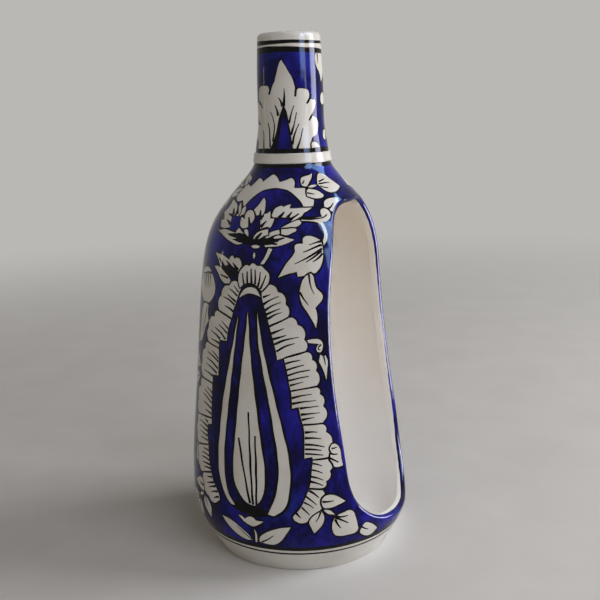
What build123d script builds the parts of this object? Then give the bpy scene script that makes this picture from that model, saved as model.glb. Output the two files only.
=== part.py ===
"""Glazed bottle vase with a tall opening in its side, in millimetres, +Z up.

The origin is on the table, under the middle of the foot. The side opening faces +X.
The body is luted together from pressed and wheel-made parts. Each seam is a rebate: one half of
the wall stands as a spigot inside the other half, as potters key two edges before joining them.
"""

import os
from math import radians, sin

from build123d import *

# Belly: the widest line of the body. The body's other radii are given as steps in from it.
belly_radius = 56.5

# Foot: a turned ring that the bowl is set into
foot_inset = 11.3
foot_height = 11.5
foot_top_inset = 5.1
foot_ring_width = 8.0
foot_recess_depth = 4.0
foot_edge_round = 1.2
bowl_seat_width = 7.0

# Bowl: from the foot to the belly, with a flat floor that stops short of the seat
bowl_rise = 20.5
floor_thickness = 6.0
floor_edge_width = 14.2

# Tapered wall, from the belly to the shoulder seam
lower_wall_rise = 48.0
waist_inset = 3.6
upper_wall_rise = 55.0
shoulder_inset = 9.0

# Shoulder dome, from its seam to the neck collar. A share says how much of the way from the
# throat out to the shoulder the dome still covers at that height.
crown_rise = 31.0
crown_share = 0.7345
slope_rise = 14.0
slope_share = 0.379
nape_rise = 8.0
nape_share = 0.131
throat_rise = 6.0

# Neck, whose radius is taken at its middle. It flares towards the collar and the throat below,
# and draws in a little towards the lip.
neck_radius = 15.9
throat_flare = 2.6
collar_flare = 1.9
flare_rise = 11.2
flare = 0.3
lower_neck_rise = 12.0
upper_neck_rise = 26.0
neck_top_inset = 0.7

# Collar: the ring in the neck seam, which stands out from the shoulder and from the neck
collar_height = 4.8
collar_seat_depth = 1.2
collar_step = 0.75
collar_edge_round = 0.5

# Lip
lip_height = 6.0
mouth_inset = 0.9
lip_outer_round = 2.2
lip_inner_round = 1.6

# Wall and seams
wall = 5.0
body_seam_lap = 5.0
neck_seam_lap = 2.5

# Side opening: an egg-shaped outline, widest low down, whose sill sags towards +Y.
# A fullness of 2 is an ellipse, and more is squarer.
sill_height = 21.0
sill_sag_offset = 11.0
opening_lower_rise = 36.0
opening_upper_rise = 118.0
opening_half_width = 35.3
opening_lower_fullness = 3.0
opening_upper_fullness = 3.1
opening_outer_round = 2.0
opening_inner_round = 1.2

# Heights that follow from the sizes above
floor_height = foot_recess_depth + floor_thickness
belly_height = foot_height + bowl_rise
waist_height = belly_height + lower_wall_rise
shoulder_height = waist_height + upper_wall_rise
crown_height = shoulder_height + crown_rise
slope_height = crown_height + slope_rise
nape_height = slope_height + nape_rise
throat_height = nape_height + throat_rise
collar_top_height = throat_height + collar_height
flare_height = collar_top_height + flare_rise
neck_middle_height = flare_height + lower_neck_rise
neck_top_height = neck_middle_height + upper_neck_rise
mouth_height = neck_top_height + lip_height
spigot_height = throat_height - neck_seam_lap

# Radii that follow from the sizes above
foot_radius = belly_radius - foot_inset
foot_top_radius = belly_radius - foot_top_inset
recess_radius = foot_radius - foot_ring_width
bowl_seat_radius = recess_radius + bowl_seat_width
floor_flat_radius = bowl_seat_radius - floor_edge_width
waist_radius = belly_radius - waist_inset
shoulder_radius = belly_radius - shoulder_inset
throat_radius = neck_radius + throat_flare
crown_radius = throat_radius + crown_share * (shoulder_radius - throat_radius)
slope_radius = throat_radius + slope_share * (shoulder_radius - throat_radius)
nape_radius = throat_radius + nape_share * (shoulder_radius - throat_radius)
collar_top_radius = neck_radius + collar_flare
collar_seat_radius = collar_top_radius - collar_seat_depth
flare_radius = neck_radius + flare
neck_top_radius = neck_radius - neck_top_inset
mouth_radius = neck_radius - mouth_inset

# Roundings, which the wall they are on limits
lip_outer_edge = min(lip_outer_round, 0.45 * wall)
lip_inner_edge = min(lip_inner_round, 0.35 * wall)
opening_outer_edge = min(opening_outer_round, 0.4 * wall)
opening_inner_edge = min(opening_inner_round, 0.24 * wall)

beyond = 2 * belly_radius
inner_line_steps = 12
outline_steps = 8
touching = 0.01
upright = Vector(0, 0, 1)


def at(radius, height):
    """A point of the half section, which lies at -X so that no seam line meets the opening."""
    return Vector(-radius, 0, height)


def turned(*lines):
    """The solid that a closed half section makes when it is turned about the vase's axis."""
    return revolve(make_face(lines), Axis.Z)


def turned_corners(*corners):
    """The turned solid of a half section with straight sides, from its (radius, height) corners."""
    return turned(Polyline(*[at(*corner) for corner in corners], close=True))


def outer_lines():
    """The outer half section: foot and bowl, then one flowing line from belly to mouth."""
    flank = Spline(
        at(foot_radius, 0),
        at(foot_top_radius, foot_height),
        at(belly_radius, belly_height),
        tangents=(at(foot_top_radius - foot_radius, foot_height), upright),
    )
    body = Spline(
        at(belly_radius, belly_height),
        at(waist_radius, waist_height),
        at(shoulder_radius, shoulder_height),
        at(crown_radius, crown_height),
        at(slope_radius, slope_height),
        at(nape_radius, nape_height),
        at(throat_radius, throat_height),
        at(collar_top_radius, collar_top_height),
        at(flare_radius, flare_height),
        at(neck_radius, neck_middle_height),
        at(neck_top_radius, neck_top_height),
        at(mouth_radius, mouth_height),
        tangents=(upright, upright),
    )
    return flank, body


def inner_line(body):
    """The body's line moved in by the wall, square to itself all the way."""
    points = []
    for step in range(inner_line_steps + 1):
        place = step / inner_line_steps
        along = body % place
        points.append(body @ place + Vector(along.Z, 0, -along.X) * wall)
    return Spline(*points, tangents=(upright, upright))


def solid_body(flank, body):
    """The outside of the vase as one solid, with the recess under the foot and the round lip."""
    outline = turned(
        flank,
        body,
        Line(at(mouth_radius, mouth_height), at(0, mouth_height)),
        Line(at(0, mouth_height), at(0, 0)),
        Line(at(0, 0), at(foot_radius, 0)),
    )
    recess = turned_corners(
        (0, 0),
        (recess_radius, 0),
        (recess_radius, foot_recess_depth),
        (0, foot_recess_depth),
    )
    standing = outline - recess
    standing = fillet(standing.edges().group_by(Axis.Z)[0], foot_edge_round)
    return fillet(standing.edges().group_by(Axis.Z)[-1], lip_outer_edge)


def hollow(body):
    """The inside: a flat floor, a round bowl, the wall line and the bore out through the mouth."""
    side = inner_line(body)
    bore_top = side @ 1
    above_bore = bore_top + upright * lip_height
    bowl = Spline(
        at(floor_flat_radius, floor_height),
        side @ 0,
        tangents=(at(1, 0), upright),
    )
    return turned(
        Line(at(0, floor_height), at(floor_flat_radius, floor_height)),
        bowl,
        side,
        Line(bore_top, above_bore),
        Line(above_bore, at(0, mouth_height + lip_height)),
        Line(at(0, mouth_height + lip_height), at(0, floor_height)),
    )


def egg_quarter(side, rise, fullness, tip_offset):
    """A quarter of the opening's outline, from its widest point to the tip at its top or sill."""
    widest_height = sill_height + opening_lower_rise
    span = side * opening_half_width - tip_offset
    points = []
    for step in range(outline_steps + 1):
        share = sin(radians(90 * step / outline_steps)) ** 2
        across = tip_offset + span * (1 - share) ** (1 / fullness)
        points.append(Vector(0, across, widest_height + rise * share ** (1 / fullness)))
    return Spline(*points, tangents=(Vector(0, 0, rise), Vector(0, -side, 0)))


def opening_cutter():
    """The outline of the side opening, run out through the wall along +X."""
    quarters = [
        egg_quarter(side, rise, fullness, tip_offset)
        for side in (1, -1)
        for rise, fullness, tip_offset in (
            (opening_upper_rise, opening_upper_fullness, 0),
            (-opening_lower_rise, opening_lower_fullness, sill_sag_offset),
        )
    ]
    return extrude(make_face(quarters), beyond, dir=(1, 0, 0))


def opening_edges(solid):
    """The edges round the side opening, which are all on the +X side of the vase's axis."""
    return [edge for edge in solid.edges() if edge.bounding_box().min.X > touching]


def vase_shell():
    """The whole wall, with the lip and both edges of the side opening sponged round."""
    flank, body = outer_lines()
    cavity = hollow(body)
    pierced = solid_body(flank, body) - opening_cutter()
    rounded = fillet(opening_edges(pierced), opening_outer_edge)
    shell = rounded - cavity
    highest_circles = shell.edges().filter_by(GeomType.CIRCLE).group_by(Axis.Z)[-1]
    shell = fillet(highest_circles.sort_by(SortBy.RADIUS)[0], lip_inner_edge)
    inner_rim = [
        edge for edge in opening_edges(shell) if cavity.distance_to(edge @ 0.5) < touching
    ]
    return fillet(inner_rim, opening_inner_edge)


def collar_ring():
    """The ring that the neck stands in, with both outer edges softened."""
    ring = turned_corners(
        (collar_seat_radius, throat_height),
        (throat_radius + collar_step, throat_height),
        (collar_top_radius + collar_step, collar_top_height),
        (collar_seat_radius, collar_top_height),
    )
    circles = ring.edges().filter_by(GeomType.CIRCLE).sort_by(SortBy.RADIUS)
    return fillet(circles[-2:], collar_edge_round)


def seam(step_radius, inner_height, outer_height):
    """A stepped seam line from the axis outwards, at one height inside its step and one outside."""
    return [
        (0, inner_height),
        (step_radius, inner_height),
        (step_radius, outer_height),
        (beyond, outer_height),
    ]


def between(lower_seam, upper_seam):
    """The turned space between two seam lines."""
    return turned_corners(*lower_seam, *reversed(upper_seam))


# Seams from the table up. Inside its step the body's lower part stands up by the lap, and the
# bowl and the neck sit down into the foot and the shoulder.
table = [(0, -foot_height), (beyond, -foot_height)]
foot_seam = seam(bowl_seat_radius, foot_recess_depth, foot_height)
belly_seam = seam(belly_radius - wall / 2, belly_height + body_seam_lap, belly_height)
shoulder_seam = seam(shoulder_radius - wall / 2, shoulder_height + body_seam_lap, shoulder_height)
throat_seam = seam(collar_seat_radius, spigot_height, throat_height)
neck_seam = seam(collar_seat_radius, spigot_height, collar_top_height)
lip_seam = seam(neck_top_radius - wall / 2, neck_top_height + neck_seam_lap, neck_top_height)
sky = [(0, 2 * mouth_height), (beyond, 2 * mouth_height)]

shell = vase_shell()
pieces = {
    "foot_ring": shell & between(table, foot_seam),
    "base_bowl": shell & between(foot_seam, belly_seam),
    "belly_wall": shell & between(belly_seam, shoulder_seam),
    "shoulder_dome": shell & between(shoulder_seam, throat_seam),
    "neck_collar": collar_ring(),
    "neck_tube": shell & between(neck_seam, lip_seam),
    "mouth_lip": shell & between(lip_seam, sky),
}

os.makedirs("parts", exist_ok=True)
for name, piece in pieces.items():
    piece.label = name
    export_step(piece, f"parts/{name}.step")
    print(name, len(piece.solids()), round(piece.volume))
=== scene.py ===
"""The looks of a painted bottle vase: cobalt brushwork on white under one clear glaze.

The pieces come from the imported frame. The outer wall is unrolled into a plane of degrees round the
vase and millimetres up along the wall, painted there stroke by stroke, and rolled up again.
"""

import math

import bmesh
import bpy
import numpy as np
from bpy.props import FloatProperty, FloatVectorProperty, PointerProperty
from mathutils import Matrix, Vector
from mathutils.geometry import delaunay_2d_cdt


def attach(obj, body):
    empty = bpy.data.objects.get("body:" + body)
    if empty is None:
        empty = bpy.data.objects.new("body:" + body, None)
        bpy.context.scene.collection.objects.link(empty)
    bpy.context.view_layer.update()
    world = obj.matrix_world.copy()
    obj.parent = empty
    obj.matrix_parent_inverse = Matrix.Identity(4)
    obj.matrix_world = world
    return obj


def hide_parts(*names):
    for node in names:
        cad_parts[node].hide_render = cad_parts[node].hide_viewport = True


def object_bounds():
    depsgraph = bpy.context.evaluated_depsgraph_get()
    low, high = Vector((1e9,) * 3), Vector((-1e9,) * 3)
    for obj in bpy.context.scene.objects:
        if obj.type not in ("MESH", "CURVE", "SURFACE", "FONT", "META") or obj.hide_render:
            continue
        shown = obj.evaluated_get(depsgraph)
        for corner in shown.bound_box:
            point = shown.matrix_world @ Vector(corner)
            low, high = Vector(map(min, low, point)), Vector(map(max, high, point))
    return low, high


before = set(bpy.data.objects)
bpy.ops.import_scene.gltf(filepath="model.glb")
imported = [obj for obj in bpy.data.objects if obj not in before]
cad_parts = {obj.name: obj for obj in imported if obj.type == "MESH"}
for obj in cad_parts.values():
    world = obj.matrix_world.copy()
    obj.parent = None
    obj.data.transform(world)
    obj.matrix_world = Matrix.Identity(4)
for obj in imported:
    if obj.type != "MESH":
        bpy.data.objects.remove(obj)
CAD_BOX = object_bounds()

bl_info = {
    "name": "Painted bottle vase",
    "version": (1, 0, 0),
    "blender": (4, 5, 0),
    "location": "View3D > Sidebar > Vase",
    "description": "Glazes and paints the pieces of a bottle vase and lights it",
    "category": "Object",
}

MM = 0.001
BODY = "root"
WHITE_NODES = ("foot_ring", "neck_collar")
LIP_NODE = "mouth_lip"
PAINTED_NODES = ("base_bowl", "belly_wall", "shoulder_dome", "neck_tube")
WALL_NODES = ("foot_ring", *PAINTED_NODES)

# The paints, numbered as the material slots of a painted piece
WHITE, COBALT, LINE, RIM, INSIDE = range(5)

# A listed point that ends in TIP keeps a sharp corner. The others are joined by a soft curve.
TIP = True

# The unrolled plane, in degrees and mm, is cut open on the side away from the opening. The scale turns
# both into about mm while it is divided into triangles.
CUT_START = -90.0
CUT_END = 270.0
PLANE_SCALE = np.array([0.9, 1.0])

# Tolerances in mm: for one place, for the cutting of the plane and for welding its parts
SAME_PLACE = 0.001
PLACE_DECIMALS = 3
LEVEL_DECIMALS = 2
CUT_REACH = 1e-5
WELD_REACH = 0.002
TINY = 1e-9

# The wall's outline is read every mm, and its slope is taken from a softened copy
OUTLINE_STEP = 1.0
SOFTEN = np.array([1, 4, 6, 4, 1]) / 16

# A rim patch shares more points with its neighbour than patches that only meet at a corner
CORNER_POINTS = 3

# The hand: how far a stroke swells, and how its curve keeps from spiking at sharp turns
SWELL = 0.15
TURN_BACK = 0.3
CORNER_KEPT = 0.9

# The hand's slow waves over the plane, in radians per degree and per mm. The pressure also drifts on its
# way up, by an amount in radians and a wave per mm.
PRESSURE_WAVE = (0.31, 0.23)
SWAY_WAVE = (0.21, 0.52)
RISE_WAVE = (0.43, -0.17)
PRESSURE_DRIFT = 0.7
DRIFT_WAVE = 0.11

# Painted rings: steps and overlap at the cut in degrees, and how far to the left of the front a tilted
# ring is highest, in radians
RING_STEP = 2.0
RING_OVERLAP = 6.0
RING_TILT_TURN = 0.35

# The waves in a ring's edges: height in mm, number round the vase and share of the edge's own phase
RING_WAVES = ((0.12, 3, 1), (0.07, 8, 2))
LOW_EDGE_PHASE = 0.3
HIGH_EDGE_PHASE = 1.9

# The ruffle's scallops: how far they stand out and where along them, as shares of their length
SCALLOP_BULGE = 0.22
SCALLOP_SHOULDERS = (0.3, 0.72)

# On the side away from the opening the sprig and the fan sit lower, in mm
FAR_SPRIG_LIFT = -2.0
FAR_FAN_LIFT = -7.5

# How large the patterns in the finishes are, in mm
RIPPLE = 8
RIPPLE_HEIGHT = 0.6
INSIDE_CLOUD = 30
SLIP_CLOUD = 18
SPECK_SPACING = 9
COBALT_POOL = 22
COBALT_STROKE = 6
COBALT_WET = 34
LINE_DRAG = 4
RIM_RAGGED = 5
LIP_SWAY = 14
BOARD_GRAIN = 40

# The dark ring of the lip, in mm: its height below the mouth, its width and the bore it stays out of
LIP_RING_DROP = 4.5
LIP_RING_HALF_WIDTH = 0.9
LIP_RING_STRAY = 0.5
LIP_RING_BORE = 13.5

# The stage, in metres
FLOOR_SIZE = 8.0
FADE_START = 0.25
FADE_END = 1.1
LAMP_AIM_HEIGHT = 0.13
NEAR_CLIP = 0.01


def linear(hex_colour):
    """An sRGB hex colour as linear RGBA."""
    channels = [int(hex_colour[i:i + 2], 16) / 255 for i in (0, 2, 4)]
    return [c / 12.92 if c <= 0.04045 else ((c + 0.055) / 1.055) ** 2.4 for c in channels] + [1.0]


def colour(name, description, hex_colour):
    """A colour that the user can change."""
    start = linear(hex_colour)
    return FloatVectorProperty(
        name=name, description=description, subtype="COLOR", size=4, min=0, max=1, default=start
    )


def setting(name, description, default, **limits):
    """A number that the user can change."""
    return FloatProperty(name=name, description=description, default=default, **limits)


class VaseGlaze(bpy.types.PropertyGroup):
    """Colours and surface of the glaze."""

    white: colour("White", "White slip under the clear glaze", "D6D3CC")
    white_shade: colour("White shade", "Thin places of the white slip", "CEC9BF")
    speck: colour("Speck", "Iron specks in the white slip", "6F5B45")
    inside: colour("Inside", "Opaque white glaze inside", "EFEEEC")
    # The creamy inside tone is cloudy at random and is also the painted shade of the upper inside.
    inside_cloud_and_painted_shade: colour("Inside shade", "Thin places of the white inside", "F0E7DA")
    # Deep cobalt is also the painted shade low on the body, and thin and wet cobalt are also the painted
    # light on the shoulder and neck.
    cobalt_deep: colour("Deep cobalt", "Cobalt where the brush left it thick", "06042A")
    cobalt: colour("Cobalt", "Cobalt at its usual strength", "0E0B54")
    cobalt_thin: colour("Thin cobalt", "Cobalt where the brush ran dry", "211C90")
    cobalt_wet: colour("Wet cobalt", "Cobalt thinned with water, which turns greener", "14337E")
    line: colour("Line", "Dark outline paint", "060508")
    line_thin: colour("Thin line", "Outline paint where it is thin", "141116")
    roughness: setting("Roughness", "Roughness of the clear glaze", 0.08, min=0, max=1)
    gloss: setting("Gloss", "Specular level of the clear glaze", 0.15, min=0, max=1)
    inside_roughness: setting("Inside roughness", "Roughness of the glaze inside", 0.4, min=0, max=1)
    inside_gloss: setting("Inside gloss", "Specular level of the glaze inside", 0.04, min=0, max=1)
    ripple: setting("Ripple", "Strength of the glaze's ripple", 0.16, min=0, max=1)


class VaseBrush(bpy.types.PropertyGroup):
    """Widths of the painted lines, in millimetres."""

    outline: setting("Outline", "Width of the line round a motif, mm", 0.9, min=0)
    vein: setting("Vein", "Width of veins and pleats, mm", 0.85, min=0)
    wobble: setting("Wobble", "How far the hand strays, mm", 0.08, min=0)
    step: setting("Step", "Distance between the points of a stroke, mm", 0.8, min=0)
    grid: setting("Grid", "Distance between the points of the wall, mm", 2.0, min=0)


class VaseStage(bpy.types.PropertyGroup):
    """Camera and light, in metres and degrees."""

    azimuth: setting("Azimuth", "Camera, degrees round from the front", 25.0)
    pitch: setting("Pitch", "Camera, degrees down", 12.83)
    roll: setting("Roll", "Camera, degrees clockwise", 1.74)
    distance: setting("Distance", "Camera to axis", 0.433, unit="LENGTH")
    height: setting("Height", "Camera above the floor", 0.2231, unit="LENGTH")
    lens: setting("Lens", "Focal length", 52.7)
    shift: setting("Shift", "Sideways shift of the frame", 0.0057)
    backdrop: colour("Backdrop", "Background, which the floor fades into", "BAB8B4")
    board: colour("Board", "Floor", "D1CFCB")
    board_shade: colour("Board shade", "Grain of the floor", "CCCAC6")
    ambient: colour("Ambient", "Light from all round", "FFF7EC")
    ambient_strength: setting("Ambient strength", "Strength of the light from all round", 0.19, min=0)


def read(collection, field, width, kind=float):
    """A field of a mesh's elements as an array."""
    values = np.empty(len(collection) * width, kind)
    collection.foreach_get(field, values)
    return values.reshape(-1, width) if width > 1 else values


def patches(triangles, count):
    """Numbers the separate patches of a mesh from 0, one number for each triangle."""
    label = np.arange(count)
    while True:
        lowest = label.copy()
        np.minimum.at(lowest, triangles.ravel(), np.repeat(label[triangles].min(axis=1), 3))
        lowest = lowest[lowest]
        if (lowest == label).all():
            return np.unique(label[triangles[:, 0]], return_inverse=True)[1].ravel()
        label = lowest


def places(points):
    """Points as a set, to find the ones that two patches share."""
    return {tuple(point) for point in np.round(points, PLACE_DECIMALS)}


class NodeMesh:
    """A CAD node's mesh as arrays in mm, with its outer wall told apart from the rest."""

    def __init__(self, name):
        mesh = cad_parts[name].data
        self.name = name
        self.points = read(mesh.vertices, "co", 3) / MM
        self.triangles = read(mesh.loops, "vertex_index", 1, int).reshape(-1, 3)
        self.normals = read(mesh.corner_normals, "vector", 3).reshape(-1, 3, 3)
        self.patch = patches(self.triangles, len(self.points))
        self.outer = self.largest_outward_patch()
        heights = self.patch_points(self.outer)[:, 2]
        self.low = heights.min()
        self.high = heights.max()

    def largest_outward_patch(self):
        """The patch that is the outer wall: the largest one that faces away from the axis."""
        corners = self.points[self.triangles]
        cross = np.cross(corners[:, 1] - corners[:, 0], corners[:, 2] - corners[:, 0])
        centre = corners.mean(axis=1)
        outward = (cross[:, :2] * centre[:, :2]).sum(axis=1) / np.hypot(centre[:, 0], centre[:, 1])
        area = np.bincount(self.patch, np.linalg.norm(cross, axis=1))
        facing = np.bincount(self.patch, outward)
        return int(np.argmax(np.where(facing > area / 2, area, 0)))

    def patch_points(self, number):
        """The points of one patch."""
        return self.points[np.unique(self.triangles[self.patch == number])]

    def opening_edges(self):
        """The edges where the outer wall ends at the side opening, as pairs of points."""
        keys = np.unique(np.round(self.points, PLACE_DECIMALS), axis=0, return_inverse=True)[1].ravel()
        wall = self.triangles[self.patch == self.outer]
        edges = np.sort(np.vstack([wall[:, [0, 1]], wall[:, [1, 2]], wall[:, [2, 0]]]), axis=1)
        sides = np.sort(keys[edges], axis=1)
        _, first, count = np.unique(sides, axis=0, return_index=True, return_counts=True)
        ends = self.points[edges[first[count == 1]]]
        at_low = (np.abs(ends[..., 2] - self.low) < SAME_PLACE).all(axis=1)
        at_high = (np.abs(ends[..., 2] - self.high) < SAME_PLACE).all(axis=1)
        return ends[~(at_low | at_high)]

    def seam_patches(self):
        """The flat patches that meet the outer wall at its lower and upper seam."""
        wall = places(self.patch_points(self.outer))
        found = []
        for number in np.unique(self.patch):
            points = self.patch_points(number)
            flat = np.ptp(points[:, 2]) < SAME_PLACE
            at_seam = min(abs(points[0, 2] - level) for level in (self.low, self.high)) < SAME_PLACE
            if flat and at_seam and places(points) & wall:
                found.append(number)
        return found

    def rim_patches(self):
        """The patches of the opening's rim: the rounding next to the outer wall and the cut behind it."""
        touched = places(self.opening_edges().reshape(-1, 3))
        others = set(np.unique(self.patch)) - {self.outer, *self.seam_patches()}
        rims = []
        for _ in range(2):
            rims = [i for i in others if len(places(self.patch_points(i)) & touched) > CORNER_POINTS]
            for number in rims:
                touched |= places(self.patch_points(number))
        return rims


class Wall:
    """The outer wall's outline from foot to lip, which rolls the painted plane up."""

    def __init__(self, nodes):
        points = np.vstack([node.patch_points(node.outer) for node in nodes])
        _, first = np.unique(np.round(points[:, 2], LEVEL_DECIMALS), return_index=True)
        self.heights = points[first, 2]
        self.radii = np.hypot(points[first, 0], points[first, 1])
        steps = np.hypot(np.diff(self.heights), np.diff(self.radii))
        self.up = self.heights[0] + np.concatenate([[0], np.cumsum(steps)])
        self.even_up = np.arange(self.up[0], self.up[-1], OUTLINE_STEP)
        self.facing = self.outward_directions()

    def outward_directions(self):
        """How far out and how far up the softened outline faces, at even steps up the wall."""
        soft = []
        for line in (self.radii, self.heights):
            even = np.interp(self.even_up, self.up, line)
            padded = np.pad(even, len(SOFTEN) // 2, mode="reflect", reflect_type="odd")
            soft.append(np.convolve(padded, SOFTEN, "valid"))
        out, rise = np.gradient(np.stack(soft), axis=1)
        return np.stack([rise, -out]) / np.hypot(out, rise)

    def up_at(self, height):
        """How far up along the wall a height is."""
        return np.interp(height, self.heights, self.up)

    def radius(self, up):
        """The wall's radius there."""
        return np.interp(up, self.up, self.radii)

    def mm_per_degree(self, up):
        """The length of one degree round the wall there."""
        return math.radians(1) * self.radius(up)

    def place(self, plane):
        """Points of the plane, rolled up, in mm."""
        angle = np.radians(plane[:, 0])
        radius = self.radius(plane[:, 1])
        height = np.interp(plane[:, 1], self.up, self.heights)
        points = np.stack([radius * np.sin(angle), -radius * np.cos(angle), height], axis=1)
        return points.clip(*np.array(CAD_BOX) / MM)

    def normals(self, plane):
        """The wall's outward directions at points of the plane."""
        angle = np.radians(plane[:, 0])
        out, rise = (np.interp(plane[:, 1], self.even_up, line) for line in self.facing)
        return np.stack([out * np.sin(angle), -out * np.cos(angle), rise], axis=1)

    def flat(self, points):
        """Points on the wall, unrolled."""
        degrees = np.degrees(np.arctan2(points[:, 0], -points[:, 1]))
        degrees = np.where(degrees < CUT_START, degrees + 360, degrees)
        return np.stack([degrees, self.up_at(points[:, 2])], axis=1)

    def depth(self, points):
        """How far in from the wall's outside points are, square to it, in mm."""
        wall_radius = np.interp(points[:, 2], self.heights, self.radii)
        sideways = wall_radius - np.hypot(points[:, 0], points[:, 1])
        return sideways * np.interp(self.up_at(points[:, 2]), self.even_up, self.facing[0])


def anticlockwise(loop):
    """The loop, turned round if it runs clockwise."""
    following = np.roll(loop, -1, axis=0)
    area = (loop[:, 0] * following[:, 1] - following[:, 0] * loop[:, 1]).sum()
    return loop[::-1] if area < 0 else loop


def phase(spots, wave):
    """Where spots of the plane are in one of the hand's waves, in radians."""
    return wave[0] * spots[:, 0] + wave[1] * spots[:, 1]


class Brush:
    """The strokes in the unrolled plane, each laid over the ones before it."""

    def __init__(self, wall, widths):
        self.wall = wall
        self.widths = widths
        self.strokes = []
        self.move_to(0)

    def move_to(self, turn, flip=1, lift=0):
        """Where the next motifs go: turned round the vase, mirrored where flip is -1, and lifted."""
        self.turn = turn
        self.flip = flip
        self.lift = lift

    def soft_curve(self, points, closed):
        """A curve through the given points, sharp at the ones marked TIP."""
        spots = np.array([point[:2] for point in points], float)
        sharp = [len(point) > 2 for point in points]
        scale = np.array([self.wall.mm_per_degree(spots[:, 1].mean()), 1.0])
        spots = spots * scale
        count = len(spots)
        legs = count if closed else count - 1
        chords = np.roll(spots, -1, axis=0) - spots
        spans = np.maximum(np.linalg.norm(chords, axis=1), TINY)
        ways = chords / spans[:, None]
        curve = []
        for i in range(legs):
            after = (i + 1) % count
            bend_out = closed or i > 0
            bend_in = closed or after < count - 1
            leave = ways[i] if sharp[i] or not bend_out else ways[i] + ways[i - 1]
            arrive = ways[i] if sharp[after] or not bend_in else ways[i] + ways[after]
            leave = leave / max(np.linalg.norm(leave), TURN_BACK) * spans[i]
            arrive = arrive / max(np.linalg.norm(arrive), TURN_BACK) * spans[i]
            pieces = max(1, math.ceil(spans[i] / self.widths.step))
            for t in np.arange(pieces) / pieces:
                curve.append(
                    spots[i] * (2 * t**3 - 3 * t**2 + 1) + leave * (t**3 - 2 * t**2 + t)
                    + spots[after] * (3 * t**2 - 2 * t**3) + arrive * (t**3 - t**2)
                )
        if not closed:
            curve.append(spots[-1])
        return np.array(curve) / scale

    def sideways(self, curve, distances, closed):
        """The curve moved to its right by distances in mm, with corners kept from spiking."""
        scale = np.stack([self.wall.mm_per_degree(curve[:, 1]), np.ones(len(curve))], axis=1)
        before, after = np.roll(curve, 1, axis=0), np.roll(curve, -1, axis=0)
        if not closed:
            before[0], after[-1] = curve[0], curve[-1]
        ways = []
        for way in ((curve - before) * scale, (after - curve) * scale):
            ways.append(way / np.maximum(np.linalg.norm(way, axis=1, keepdims=True), TINY))
        along = ways[0] + ways[1]
        along = along / np.maximum(np.linalg.norm(along, axis=1, keepdims=True), CORNER_KEPT)
        right = np.stack([along[:, 1], -along[:, 0]], axis=1)
        return curve + right * np.broadcast_to(distances, len(curve))[:, None] / scale

    def uneven(self, curve):
        """How the pressure of the hand swells and thins a line along its way."""
        drift = PRESSURE_DRIFT * np.sin(DRIFT_WAVE * curve[:, 1])
        return 1 + SWELL * np.sin(phase(curve, PRESSURE_WAVE) + drift)

    def lay(self, paint, loop):
        """Adds one closed patch of paint where the brush is set, with the slow waves of the hand."""
        loop = loop * [self.flip, 1] + [self.turn, self.lift]
        stray = self.widths.wobble
        sway = np.sin(phase(loop, SWAY_WAVE)) * stray / self.wall.mm_per_degree(loop[:, 1])
        rise = np.sin(phase(loop, RISE_WAVE)) * stray
        loop = anticlockwise(loop + np.stack([sway, rise], axis=1))
        loop = loop - [360 * math.floor((loop[:, 0].mean() - CUT_START) / 360), 0]
        self.strokes.append((paint, loop))
        if loop[:, 0].min() < CUT_START:
            self.strokes.append((paint, loop + [360, 0]))
        if loop[:, 0].max() > CUT_END:
            self.strokes.append((paint, loop - [360, 0]))

    def blot(self, points, paint):
        """A filled shape with no outline."""
        self.lay(paint, self.soft_curve(points, closed=True))

    def shape(self, points, paint=WHITE, edge=1.0):
        """A filled shape with a dark outline round it."""
        curve = anticlockwise(self.soft_curve(points, closed=True))
        width = edge * self.widths.outline * self.uneven(curve)
        self.lay(LINE, self.sideways(curve, width, closed=True))
        self.lay(paint, curve)

    def shapes(self, *rows, edge=1.0):
        """Several white shapes with dark outlines."""
        for row in rows:
            self.shape(row, edge=edge)

    def line(self, points, thick=1.0, end=0.35):
        """A single dark brush line, which thins out towards its end."""
        curve = self.soft_curve(points, closed=False)
        taper = np.linspace(1, end, len(curve))
        half = 0.5 * self.widths.vein * thick * taper * self.uneven(curve)
        right = self.sideways(curve, half, closed=False)
        left = self.sideways(curve, -half, closed=False)
        self.lay(LINE, np.vstack([right, left[::-1]]))

    def lines(self, *rows, **style):
        """Several brush lines of one style."""
        for row in rows:
            self.line(row, **style)

    def band(self, low, high, paint, low_tilt=0.0, high_tilt=0.0):
        """A painted ring between two heights up the wall, whose edges the hand didn't keep quite level."""
        degrees = np.arange(CUT_START - RING_OVERLAP, CUT_END + RING_OVERLAP + RING_STEP / 2, RING_STEP)
        turn = np.radians(degrees)
        rise = np.cos(turn + RING_TILT_TURN)
        edges = []
        for level, tilt, start in ((low, low_tilt, LOW_EDGE_PHASE), (high, high_tilt, HIGH_EDGE_PHASE)):
            drift = sum(size * np.sin(count * turn + share * start) for size, count, share in RING_WAVES)
            edges.append(np.stack([degrees, level + tilt * rise + drift], axis=1))
        self.strokes.append((paint, np.vstack([edges[0], edges[1][::-1]])))


def within(spots, loop):
    """Which spots a loop that runs anticlockwise goes round."""
    x, y = spots[:, :1], spots[:, 1:]
    x0, y0 = loop.T
    x1, y1 = np.roll(loop, -1, axis=0).T
    left = (x1 - x0) * (y - y0) - (x - x0) * (y1 - y0)
    rising = (y0 <= y) & (y1 > y) & (left > 0)
    falling = (y0 > y) & (y1 <= y) & (left < 0)
    return rising.sum(axis=1) > falling.sum(axis=1)


def in_opening(spots, edges):
    """Which spots lie in the side opening, from the edges round it."""
    x, y = spots[:, :1], spots[:, 1:]
    x0, y0 = edges[:, 0].T
    x1, y1 = edges[:, 1].T
    spans = (y0 <= y) != (y1 <= y)
    rise = np.where(y1 == y0, 1.0, y1 - y0)
    return (spans & (x0 + (y - y0) / rise * (x1 - x0) > x)).sum(axis=1) % 2 == 1


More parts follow.
